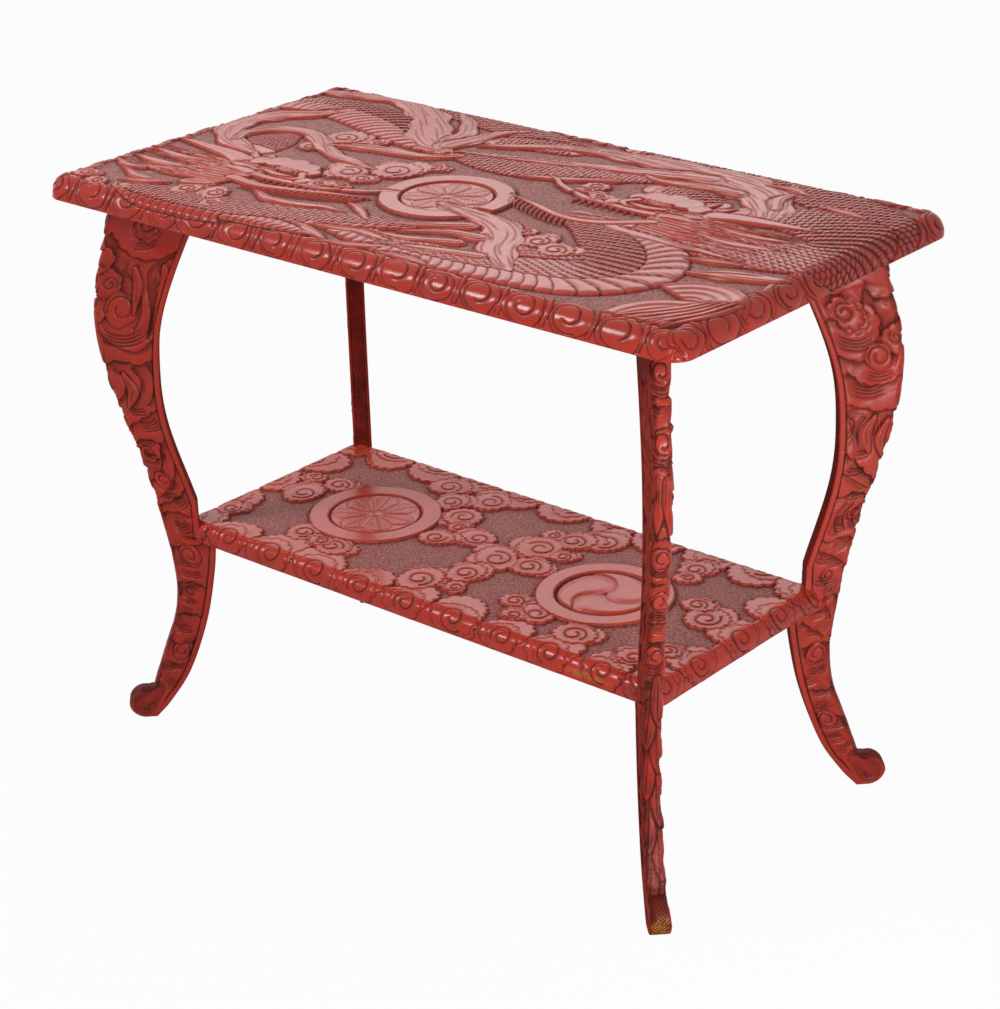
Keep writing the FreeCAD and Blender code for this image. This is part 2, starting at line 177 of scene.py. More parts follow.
def scaleField(panel, t, points, size):  # overlapping scales, tips the way the line runs, and their dark rims
    gx, gy = panel.places(t.win)
    out, rim = np.full_like(t.off, 0.3), np.zeros_like(t.off)
    line = smoothLine(points, 1.5)
    way = np.gradient(line[:, :2], axis=0)
    way = way / np.hypot(*way.T)[:, None]
    spots = []
    lanes = int(line[:, 2].max() / (0.5 * size)) + 1
    for k in range(-lanes, lanes + 1):
        off = 0.5 * size * k
        p = line[:, :2] + off * np.stack([-way[:, 1], way[:, 0]], -1)
        gain = np.maximum((np.diff(p, axis=0) * way[1:]).sum(1), 0)  # none where a lane folds back
        run = np.r_[0, np.cumsum(gain)] + 0.65 * size * (k % 2)
        for i in np.nonzero(np.diff(np.floor(run / (1.3 * size))))[0]:
            if abs(off) < line[i, 2] + 0.3 * size:
                spots.append((i, *p[i], *way[i]))
    reach = 0.74 * size
    n = int(reach / panel.step) + 2
    for _, x, y, wx, wy in sorted(spots, reverse=True):
        i, j = int((x - gx[0, 0]) / panel.step), int((y - gy[0, 0]) / panel.step)
        part = slice(max(j - n, 0), max(j + n + 1, 0)), slice(max(i - n, 0), max(i + n + 1, 0))
        dx, dy = gx[part] - x, gy[part] - y
        forth = (dx * wx + dy * wy) / reach
        e = np.hypot(forth, (dy * wx - dx * wy) / (0.85 * reach))
        ramp = (0.35 + 0.65 * np.clip(forth, -0.4, 1)) * (1 - 0.8 * np.clip(e, 0, 1) ** 6)
        out[part] = np.where(e < 1, ramp, out[part])
        rim[part] = np.where(e < 1, softStep((e - 0.74) / 0.2) * softStep(forth + 0.5), rim[part])
    return out, rim


def dragonBody(panel, points, low, high, scale, belly, bellyAt, bellyPitch):
    t = Trace(panel, points, 5, 3)
    u = np.clip(t.off / np.maximum(t.wide, 1), 0, 1)
    dome = low + (high - low) * np.sqrt(1 - 0.92 * u * u)
    scales, ink = scaleField(panel, t, points, scale)
    skin = dome + 2.6 * (scales - 0.65)
    if belly:  # curved plates along one side
        v = u * t.side * belly
        p = ((t.along + 0.9 * t.off - 0.5 * t.off ** 2 / t.wide) / bellyPitch) % 1
        rib = np.sqrt(np.clip(1 - 0.97 * (1.8 * p - 0.9) ** 2, 0, 1))
        plates = dome - 1.7 + 2.4 * rib - 1.0 * softStep((v - 0.85) / 0.15)
        onBelly = softStep((v - bellyAt) * t.wide / 1.5 + 0.5)
        split = bell((v - bellyAt) * t.wide / 1.2)
        skin = skin + (plates - skin) * onBelly - 1.0 * split
        lines = 0.9 * onBelly * bell(np.minimum(p, 1 - p) * bellyPitch)
        ink = ink * (1 - onBelly) + np.maximum(lines, 0.8 * split)
    panel.lay(t.win, softStep((t.inside + 0.6) / 2.0), skin, moatOf(t.inside, 1.4), ink)


def ribbon(panel, points, top, rim, hollow, flow=0.0, moat=1.2, wobble=0.0, vein=7.5):
    t = Trace(panel, points, 6)
    inside = t.inside
    if wobble:
        inside = inside + (wobble * t.wide * np.sin(t.along / 11.0 + 1.6 * t.side)
                           * np.sin(t.along / 29.0 + 0.7))
    u = np.clip(t.off / np.maximum(t.wide, 1), 0, 1)
    height = top - hollow * (1 - u) - 1.5 * softStep((u - 0.5) / 0.5) * softStep((t.wide - 3) / 6)
    ink = np.zeros_like(height)
    if flow:  # long grooves that run with the ribbon and close up at its tips
        lanes = max(1, round(max(point[2] for point in points) / vein))
        pitch = t.wide / lanes
        lane = t.side * u * lanes + 0.3 * np.sin(t.along / 27.0 + t.side)
        groove = bell((lane % 1 - 0.5) * pitch / 0.95) * softStep((pitch - 1.6) / 1.2)
        groove = groove * softStep(np.sin(t.along / 21 + 2.1 * np.floor(lane)) + 0.85)
        groove = groove * softStep((inside - 1) / 2)
        height = height - flow * groove
        ink = 0.6 * flow * groove
    panel.lay(t.win, softStep((inside + 0.6) / rim), height, moatOf(inside, moat), ink)


def strand(panel, points, top, dome=0.9):  # one hair or tooth
    t = Trace(panel, points, 3, 2)
    u = np.clip(t.off / np.maximum(t.wide, 0.6), 0, 1)
    panel.lay(t.win, softStep((t.inside + 0.5) / 1.6), top - dome * u * u, moatOf(t.inside, 0.7, 1.1))


def lobes(panel, circles, top, slope):  # one raised shape with a scalloped outline
    c = np.array(circles, float)
    low, high = (c[:, :2] - c[:, 2:]).min(0) - 5, (c[:, :2] + c[:, 2:]).max(0) + 5
    win = panel.window(low[0], high[0], low[1], high[1])
    gx, gy = panel.places(win)
    inside = np.full(gx.shape, -99.0, np.float32)
    for x, y, r in circles:
        inside = np.maximum(inside, r - np.hypot(gx - x, gy - y))
    height = top - slope * softStep(1 - inside / 7)
    panel.lay(win, softStep((inside + 0.6) / 2.0), height, moatOf(inside, 1.2))


bank = {"lobed": (2.3, 20.0, 3), "plain": (1.7, 12.0, 1),  # depth, slope, contour cuts
        "bulge": 2.8, "cutPitch": 3.6}


def stepLine(panel, points, side, lobe):  # one bank of cloud over the next, lobed where lobe has a length
    depth, slope, fine = bank["lobed" if lobe else "plain"]
    t = Trace(panel, [(x, y, 0.0) for x, y in points], 1.5 * slope + 6, 2)
    d = t.off * t.side * side
    if lobe:
        count = max(1, round(t.length / lobe))
        d = d - bank["bulge"] * np.sqrt(np.abs(np.sin(math.pi * count * t.along / t.length)))
    ends = softStep(np.minimum(t.along, t.length - t.along) / 5.0)
    below = ends * softStep(d / 0.9 + 0.6) * np.exp(-np.maximum(d, 0) / (0.5 * slope))
    above = ends * softStep(0.6 - d / 0.9) * np.exp(np.minimum(d, 0) / (0.4 * slope))
    line = ends * bell(d / 0.8)
    panel.height[t.win] += 0.35 * depth * above - depth * below - 0.35 * line
    # the sunk slope below the step gets painted shade
    panel.ink[t.win] = np.maximum(panel.ink[t.win], np.maximum(0.75 * line, 0.25 * below))
    for k in range(fine):  # contour cuts that follow the bank
        hair = ends * bell((d - bank["cutPitch"] * (k + 1)) / 0.9) * (1 - 0.22 * k)
        hair = hair * softStep(1.2 + np.sin(t.along / 9.0 + k))
        panel.height[t.win] -= 0.7 * hair
        panel.ink[t.win] = np.maximum(panel.ink[t.win], 0.5 * hair)


def around(panel, x, y, reach):  # the window round a point, and how far each place in it is from there
    win = panel.window(x - reach, x + reach, y - reach, y + reach)
    gx, gy = panel.places(win)
    return win, gx - x, gy - y


def scallops(panel, x, y, r, top, turn, lobe, lift, moat):  # a low skirt with a lobed outline
    win, dx, dy = around(panel, x, y, r * 1.3 + 4)
    long, short = dx * math.cos(turn) + dy * math.sin(turn), dy * math.cos(turn) - dx * math.sin(turn)
    rho = np.hypot(long / 1.1, short * 1.06)
    theta = np.arctan2(short, long)
    count = max(5, round(2 * math.pi * r / lobe))
    wave = np.abs(np.sin(count * theta / 2 + 0.8 * np.sin(theta) + 0.6 * np.sin(2 * theta + x)))
    inside = r * (1 + 0.07 * np.sin(2 * theta + y)) - 0.34 * lobe * (1 - np.sqrt(wave)) - rho
    height = top - lift * softStep(1 - rho / r) - 0.5 * softStep(1 - inside / 2.4)
    panel.lay(win, softStep((inside + 0.5) / 1.5), height, moatOf(inside, moat, 1.1))


def cutCurl(panel, x, y, r, hand, turn):  # a curl with its outer side sloped down to the line
    win, dx, dy = around(panel, x, y, 2 * r)
    rho = np.hypot(dx, dy)
    theta = (np.arctan2(dy, dx) * hand + turn) % (2 * math.pi)
    for n in (0, 1):
        wound = theta / (2 * math.pi) + n
        off = rho - r * (1.05 - 0.58 * wound)
        live = softStep((1.45 - wound) / 0.2)
        shade = np.exp(-np.maximum(off, 0) / (0.16 * r + 0.5)) * softStep(off + 0.8)
        panel.height[win] -= live * (0.6 * bell(off / 0.9) + 1.1 * shade)
        panel.ink[win] = np.maximum(panel.ink[win], live * (0.7 * bell(off / 0.9) + 0.4 * shade))


def cloud(panel, x, y, r, top, turn, hand, moat=1.0, lobe=11.0):  # a scalloped bank with one curl cut in it
    cx, cy = math.cos(turn), math.sin(turn)
    front = r
    if r > 17:  # lower banks that peep out behind
        front = 0.84 * r
        scallops(panel, x + 0.42 * r * cx, y + 0.42 * r * cy, 0.7 * r, top - 0.9, turn + 0.9, lobe, 0.3, moat)
        scallops(panel, x - 0.34 * r * cy, y + 0.34 * r * cx, 0.66 * r, top - 0.6, turn + 2, lobe, 0.3, moat)
    scallops(panel, x - 0.12 * r * cx, y - 0.12 * r * cy, front, top - 0.1, turn, lobe, 0.3, moat)
    cutCurl(panel, x - 0.16 * r * cx, y - 0.16 * r * cy, 0.5 * r, hand, turn)


def edgeCurl(panel, x, y, r, top, turn, hand, squash, turns):  # a low oval scroll with one spiral cut
    win, dx, dy = around(panel, x, y, r + 6)
    dx, dy = dx * squash[0], dy * squash[1]
    rho = np.hypot(dx, dy)
    theta = ((np.arctan2(dy, dx) - turn) * hand) % (2 * math.pi)
    lumps = 1 + 0.09 * np.cos(theta) + 0.06 * np.sin(3 * theta + x) + 0.03 * np.sin(5 * theta + y)
    inside = r * lumps - rho
    height = top - np.clip(rho / r, 0, 1) ** 4
    ink = np.zeros_like(rho)
    for n in (0, 1):
        wound = theta / (2 * math.pi) + n
        off = rho - r * (0.88 - 0.47 * wound)
        live = softStep((wound - 0.03) / 0.08) * softStep((turns - wound) / 0.12)
        shade = np.exp(-np.maximum(off, 0) / (0.14 * r)) * softStep(off + 0.8)
        height = height - live * (0.5 * bell(off / 0.9) + 1.5 * shade)
        ink = np.maximum(ink, live * (0.85 * bell(off / 0.9) + 0.25 * shade))
    panel.lay(win, softStep((inside + 0.5) / 1.6), height, moatOf(inside, 1.3, 1.2), ink)


def flatRing(panel, x, y, outer, inner, top):
    win, dx, dy = around(panel, x, y, outer + 6)
    rho = np.hypot(dx, dy)
    inside = np.minimum(outer - rho, rho - inner)
    panel.lay(win, softStep((inside + 0.6) / 2.0), np.full_like(rho, top), moatOf(inside, 1.0))


def rosette(panel, x, y, r, top):  # veined leaves cut into a smooth disc
    leaves, turn, boss = 7, 0.3, 0.13 * r
    win, dx, dy = around(panel, x, y, r + 3)
    rho = np.hypot(dx, dy)
    theta = np.arctan2(dy, dx) + turn
    panel.lay(win, softStep((r - rho + 0.6) / 1.6), np.full_like(rho, top - 0.6), moatOf(r - rho, 0.8, 1.1))
    f = (theta * leaves / (2 * math.pi)) % 1 - 0.5
    sideways = np.abs(f) * 2 * math.pi / leaves * rho
    flank = (0.5 - np.abs(f)) * 2 * math.pi / leaves * rho - 0.5
    inside = np.minimum(flank, 0.94 * r * (1 - 1.05 * f * f) - rho)
    inside = np.minimum(inside, rho - 0.18 * r)
    ribs = bell((((rho - 0.9 * sideways) / 5.0) % 1 - 0.5) * 5.0 / 0.75) * softStep((inside - 0.6) / 2)
    vein = np.maximum(bell(sideways / 0.8), 0.7 * ribs)
    height = top - 0.6 * vein - 0.5 * softStep(1 - inside / 4)
    ink = np.clip(0.65 * vein, 0, 1)
    panel.lay(win, softStep((inside + 0.4) / 1.2), height, moatOf(inside, 0.9, 1.0), ink)
    dome = top - 0.6 * (rho / boss) ** 2
    panel.lay(win, softStep((boss - rho) / 1.5 + 0.5), dome, moatOf(boss - rho, 0.9, 1.0))


commaShape = [(0.0, 0.49, 0.47), (0.08, 0.495, 0.47), (0.5, 0.58, 0.39), (0.95, 0.71, 0.27),
              (1.35, 0.82, 0.16), (1.8, 0.93, 0.03)]  # turn, reach, half width, from head to tail


def commaSwirl(panel, x, y, r, top, turn, count=3):  # heads that chase their tails round a circle
    for k in range(count):
        a = turn + 2 * math.pi * k / count
        path = []
        for s, reach, wide in commaShape:
            path.append((x + reach * r * math.cos(a + s), y + reach * r * math.sin(a + s), wide * r))
        ribbon(panel, path, top, rim=1.6, hollow=0.0, moat=1.0)


def shell(panel, x, y, r, start, end, top, pitch):  # a fan of curved ribs
    win, dx, dy = around(panel, x, y, r + 3)
    rho = np.hypot(dx, dy)
    theta = (np.arctan2(dy, dx) - start) % (2 * math.pi)
    wide = (end - start) % (2 * math.pi)
    inside = np.minimum(r - rho, np.minimum(theta, wide - theta) * rho)
    rib = np.sqrt(np.clip(1 - (2 * ((rho / pitch) % 1) - 1) ** 2, 0, 1))
    panel.lay(win, softStep((inside + 0.6) / 2.2) * (theta < wide), top - 1.5 + 1.5 * rib,
              moatOf(inside, 1.0) * (theta < wide + 0.2), 0.8 * softStep((0.45 - rib) / 0.4))


# meshes

def linked(name, data):
    made = bpy.data.objects.new(name, data)
    bpy.context.collection.objects.link(made)
    return made


def gridMesh(name, columns, rows):  # a flat grid to bend into shape, and its places from -1 to 1
    bm = bmesh.new()
    bmesh.ops.create_grid(bm, x_segments=columns, y_segments=rows, size=1.0)
    mesh = bpy.data.meshes.new(name)
    bm.to_mesh(mesh)
    bm.free()
    co = np.empty(len(mesh.vertices) * 3, np.float32)
    mesh.vertices.foreach_get("co", co)
    return mesh, co.reshape(-1, 3)


def placeMesh(mesh, place):
    mesh.vertices.foreach_set("co", (place * mm).astype(np.float32).ravel())


def putAttribute(mesh, name, values):
    layer = mesh.attributes.new(name, "FLOAT", "POINT")
    layer.data.foreach_set("value", np.ascontiguousarray(values, np.float32))


def closeMesh(bm, mesh):  # fill what is open, turn the faces outwards, count the edges without two faces
    bmesh.ops.holes_fill(bm, edges=[e for e in bm.edges if e.is_boundary], sides=0)
    bmesh.ops.recalc_face_normals(bm, faces=bm.faces)
    bm.to_mesh(mesh)
    unpaired = sum(not e.is_manifold for e in bm.edges)
    bm.free()
    return unpaired


def finishPiece(name, mesh, smooth):
    mesh.polygons.foreach_set("use_smooth", np.array(smooth))
    mesh.update()
    print(name, len(mesh.polygons), "faces")
    return linked(name, mesh)


# the carved boards

def edgeRun(reach, board):  # from the flat of the top, over the rounded edge, down to the underside
    flat = board["corner"] - board["roundOver"]
    big, small = board["roundOver"], board["underRound"]
    upright = board["thick"] - big - small
    e = reach - flat
    turn = np.clip(e / big, 0, math.pi / 2)
    fall = np.clip(e - big * math.pi / 2, 0, upright)
    under = np.clip((e - big * math.pi / 2 - upright) / small, 0, math.pi / 2)
    out = np.minimum(reach, flat) + big * np.sin(turn) - small * (1 - np.cos(under))
    drop = big * (1 - np.cos(turn)) + fall + small * np.sin(under)
    return out, drop, turn + under


def edgeReach(board):
    big, small = board["roundOver"], board["underRound"]
    upright = board["thick"] - big - small
    return board["corner"] - big + (big + small) * math.pi / 2 + upright


def unrolledHalf(board):  # half the length and half the width of the skin laid flat
    reach = edgeReach(board)
    return board["length"] / 2 - board["corner"] + reach, board["width"] / 2 - board["corner"] + reach


def boardPanel(board, step=0.7):
    halfA, halfB = unrolledHalf(board)
    return CarvedPanel((-halfA, -halfB), (halfA, halfB), step)


def boardSkin(a, b, board):  # unrolled place to place in space and outward direction
    innerA = board["length"] / 2 - board["corner"]
    innerB = board["width"] / 2 - board["corner"]
    ea, eb = np.maximum(np.abs(a) - innerA, 0), np.maximum(np.abs(b) - innerB, 0)
    reach = np.maximum(ea, eb)
    size = np.maximum(np.hypot(ea, eb), 1e-6)
    da, db = np.sign(a) * ea / size, np.sign(b) * eb / size
    out, drop, turn = edgeRun(reach, board)
    x = np.clip(a, -innerA, innerA) + da * out
    y = np.clip(b, -innerB, innerB) + db * out
    z = board["level"] - drop
    normal = np.stack([da * np.sin(turn), db * np.sin(turn), np.cos(turn)], -1)
    return np.stack([x, y, z], -1), normal, reach


def carvedBoard(name, board, panel, low, high):  # one board of a slab, between two unrolled depths
    mesh, co = gridMesh(name, *board["cells"])
    a = co[:, 0] * unrolledHalf(board)[0]
    b = low + (co[:, 1] + 1) / 2 * (high - low)
    place, normal, reach = boardSkin(a, b, board)
    height = panel.sample(panel.height, a, b)
    fade = softStep((edgeReach(board) - reach) / 3.0)
    cut = np.minimum(height - board["depth"], 0) * fade
    placeMesh(mesh, place + normal * cut[:, None])
    for field in ("cut", "proud", "ground"):
        putAttribute(mesh, field, panel.sample(getattr(panel, field), a, b))
    overEdge = softStep((reach - board["corner"] + board["roundOver"]) / board["roundOver"])
    # paler on the flat top and darker over the rounded edges: painted light and shade, with some fading
    putAttribute(mesh, "fadeAndPaintedLight", (1 - overEdge) - 0.15)
    worn, middle, long = board["wear"]
    frontEdge = bell((b + board["width"] / 2 + 8) / 9)
    putAttribute(mesh, "wear", worn * bell((a - middle) / long) * frontEdge)
    bm = bmesh.new()
    bm.from_mesh(mesh)
    inner = (board["width"] / 2 - board["corner"]) * mm
    seams = []
    for edge in bm.edges:
        if edge.is_boundary:
            first, second = (v.co.y for v in edge.verts)
            if max(abs(first), abs(second)) < inner and abs(first - second) < 1e-5:
                edge.smooth = False
                seams.append(edge)
    made = bmesh.ops.extrude_edge_only(bm, edges=seams)  # the sawn sides, down to the underside
    for item in made["geom"]:
        if isinstance(item, bmesh.types.BMVert):
            item.co.z = (board["level"] - board["thick"]) * mm
    bmesh.ops.remove_doubles(bm, verts=bm.verts, dist=weld)
    closeMesh(bm, mesh)
    smooth = [len(p.vertices) == 4 and abs(p.normal.y) < 0.9999 for p in mesh.polygons]
    return finishPiece(name, mesh, smooth)


def onEdge(axis, along, out):  # along an edge and out over it, as x and y
    return (along, out) if axis == 0 else (out, along)


def edgeScrolls(panel, board, level, seed):  # running scrolls or lobed knobs along all four edges
    rng = np.random.default_rng(seed)
    halfA = board["length"] / 2 - board["corner"]
    halfB = board["width"] / 2 - board["corner"]
    reach = edgeReach(board)
    everywhere = (slice(None), slice(None))
    gx, gy = panel.places(everywhere)
    deep = np.maximum(np.abs(gx) - halfA, np.abs(gy) - halfB)
    lip = 3.5 * np.sin(gx / 7.0) * np.sin(gy / 8.0)
    panel.lay(everywhere, softStep((deep - 2 + lip) / 4), np.full_like(gx, level - 1.5))
    for axis, half, other in ((0, halfA + 6, halfB), (1, halfB + 4, halfA)):
        count = int(2 * half / board["scrollPitch"])
        for sign in (-1, 1):
            outwards = math.pi / 2 * sign if axis == 0 else (0.0 if sign > 0 else math.pi)
            hand = sign if axis == 0 else -sign
            for k in range(count + 1):
                along = -half + 2 * half * k / count + rng.uniform(-4, 4)
                r = board["scrollSize"] * rng.uniform(0.86, 1.14)
                out = sign * (other + reach * board["scrollAt"] + rng.uniform(-1.5, 1.5))
                facing = outwards + rng.uniform(-1.0, 1.0)
                x, y = onEdge(axis, along, out)
                if board["knobs"]:  # two scalloped banks with a curl
                    scallops(panel, x, y, r, level - 0.5, facing, lobe=13.0, lift=0.4, moat=1.2)
                    x, y = onEdge(axis, along, out + sign * 9)
                    scallops(panel, x, y, 0.74 * r, level, facing + 0.6, lobe=13.0, lift=0.4, moat=1.0)
                    cutCurl(panel, x, y, 0.46 * r, hand, facing)
                    continue
                gap = along + half / count  # a leaf stands between this scroll and the next
                near, far = sign * (other + 4), sign * (other + reach - 6)
                leaf = [(gap - 3, near, 2), (gap + 2, (near + far) / 2, 3.6), (gap - 2, far, 2)]
                leaf = [(*onEdge(axis, a, b), w) for a, b, w in leaf]
                ribbon(panel, leaf, level - 0.5, rim=2.0, hollow=0.0, moat=1.1)
                squash = onEdge(axis, 1.0, board["scrollSquash"])
                edgeCurl(panel, x, y, r, level, facing, hand, squash, rng.uniform(1.05, 1.5))


# drawing of the top

topBoard = {**slabSize("top_board"), "corner": 27.0, "roundOver": 25.0, "underRound": 1.5, "depth": 5.0,
            "cells": (700, 138), "scrollPitch": 57.0, "scrollAt": 0.52, "scrollSize": 24.5,
            "scrollSquash": 1.2, "knobs": False,
            "wear": (0.0, 0.0, 1.0)}  # how much, where along the front edge, over what length

dragonFace = {  # looking along +x; points are x, y and half width, as shares of the head's size
    "locks": [(-0.08, 0.05), (-0.27, 0.06)],
    "jaw": [(-0.2, -0.25, 0.05), (0.1, -0.28, 0.042), (0.36, -0.22, 0.034), (0.68, -0.12, 0.026),
            (0.92, -0.05, 0.008)],
    "upperLip": [(-0.36, 0.0, 0.03), (-0.22, -0.07, 0.045), (-0.08, -0.11, 0.04), (0.1, -0.12, 0.035),
                 (0.3, -0.1, 0.035), (0.5, -0.08, 0.035), (0.66, -0.01, 0.012)],
    "muzzle": [(0.28, -0.03, 0.07), (0.36, 0.0, 0.06), (0.46, 0.02, 0.07), (0.56, 0.04, 0.055),
               (0.63, 0.04, 0.04)],
    "nostrils": [(0.42, -0.02, 0.075), (0.58, 0.05, 0.06)],
    "whisker": [(0.66, -0.02, 0.03), (0.8, 0.05, 0.026), (0.9, 0.13, 0.02), (1.0, 0.17, 0.006)],
    "fins": [(-0.34, 0.02, -0.46, 0.14, 0.05), (-0.3, -0.04, -0.5, 0.02, 0.055),
             (-0.26, -0.1, -0.46, -0.1, 0.05), (-0.38, 0.16, -0.5, 0.3, 0.05),
             (-0.26, 0.2, -0.34, 0.32, 0.05)],  # root, tip, half width
    "forehead": [(-0.3, 0.14, 0.085), (-0.17, 0.2, 0.11), (-0.04, 0.23, 0.105), (0.1, 0.2, 0.1),
                 (0.2, 0.14, 0.07), (0.0, 0.14, 0.1)],
    "eye": [(-0.12, 0.0, 0.02), (0.02, -0.03, 0.032), (0.16, -0.01, 0.012)],
    "eyeFold": [(0.16, 0.08, 0.03), (0.22, 0.0, 0.03), (0.16, -0.06, 0.02), (0.04, -0.075, 0.008)],
    "horn": [(-0.46, 0.1, 0.09), (-0.62, 0.15, 0.08), (-0.95, 0.19, 0.045), (-1.2, 0.21, 0.006)],
}


def dragonHead(panel, x, y, size, facing, gape, top):  # set in place from the drawing above
    face = dragonFace

    def put(points):
        return [(x + facing * size * px, y + size * py, pw * size) for px, py, pw in points]

    def jaw(points):  # the lower jaw drops with the gape
        return put([(px, py - gape * min(1, max(0, px + 0.2) * 2.2), pw) for px, py, pw in points])

    for layer in (2, 1, 0):  # mane, swept back
        for k in range(10):
            f = (k + 0.5 * (layer % 2)) / 9
            tip = -0.72 - 0.2 * layer - 0.22 * math.sin(2.6 * f + 0.4) + 0.05 * (k % 3)
            hair = [(-0.06 - 0.12 * f, 0.04 - 0.42 * f, 0.016), (-0.4 - 0.1 * layer, 0.03 - 0.43 * f, 0.017),
                    (0.7 * tip, 0.01 - 0.41 * f + 0.03 * math.sin(2 * k), 0.014),
                    (tip, 0.06 - 0.46 * f, 0.003)]
            strand(panel, put(hair), top - 0.5 - 0.5 * layer)
    for fy, fw in face["locks"]:
        lock = [(-0.56, fy + 0.02, 0.012), (-0.86, fy - 0.02, fw), (-1.2, fy + 0.02, 0.006)]
        ribbon(panel, put(lock), top - 1.0, rim=2.6, hollow=0.3, flow=1.0)
    for k in range(17):  # beard, a comb of bristles under the jaw
        f = k / 16
        bx, by = 0.06 + 0.82 * f, -0.27 + 0.19 * f - 0.05 * math.sin(math.pi * f)
        bristle = [(bx, by + 0.03, 0.013), (bx - 0.02, by - 0.06, 0.012), (bx - 0.07, by - 0.13, 0.004)]
        strand(panel, jaw(bristle), top - 0.6, dome=1.4)
    ribbon(panel, jaw(face["jaw"]), top - 0.2, rim=1.8, hollow=0.4, flow=0.4)
    for k in range(9):  # teeth
        tx = 0.02 + 0.5 * k / 8
        strand(panel, put([(tx, -0.14, 0.017), (tx - 0.01, -0.2, 0.005)]), top - 0.7)
    ribbon(panel, put(face["upperLip"]), top - 0.2, rim=1.8, hollow=0.4, flow=0.3)
    lobes(panel, put(face["muzzle"]), top, slope=0.9)
    for cx, cy, r in put(face["nostrils"]):
        cloud(panel, cx, cy, r, top, 0.4 if facing > 0 else 2.7, facing, moat=0.9)
    ribbon(panel, put(face["whisker"]), top - 0.3, rim=1.6, hollow=0.3)
    for ex, ey, tx, ty, w in face["fins"]:  # behind the cheek
        fin = [(ex + 0.08, ey, w), (ex - 0.02, ey + 0.02, w), (tx, ty, 0.006)]
        ribbon(panel, put(fin), top - 0.3, rim=1.8, hollow=0.4, flow=0.3)
    lobes(panel, put(face["forehead"]), top, slope=0.5)
    for k in range(14):  # brow hairs
        bx = -0.12 + 0.3 * k / 13
        strand(panel, put([(bx, 0.08 + 0.02 * (k % 2), 0.014), (bx + 0.03, 0.01, 0.003)]), top - 0.3)
    ribbon(panel, put(face["eye"]), top - 0.1, rim=1.6, hollow=0.2)
    ribbon(panel, put(face["eyeFold"]), top - 0.2, rim=1.6, hollow=0.3)
    ribbon(panel, put(face["horn"]), top, rim=1.8, hollow=0.2)


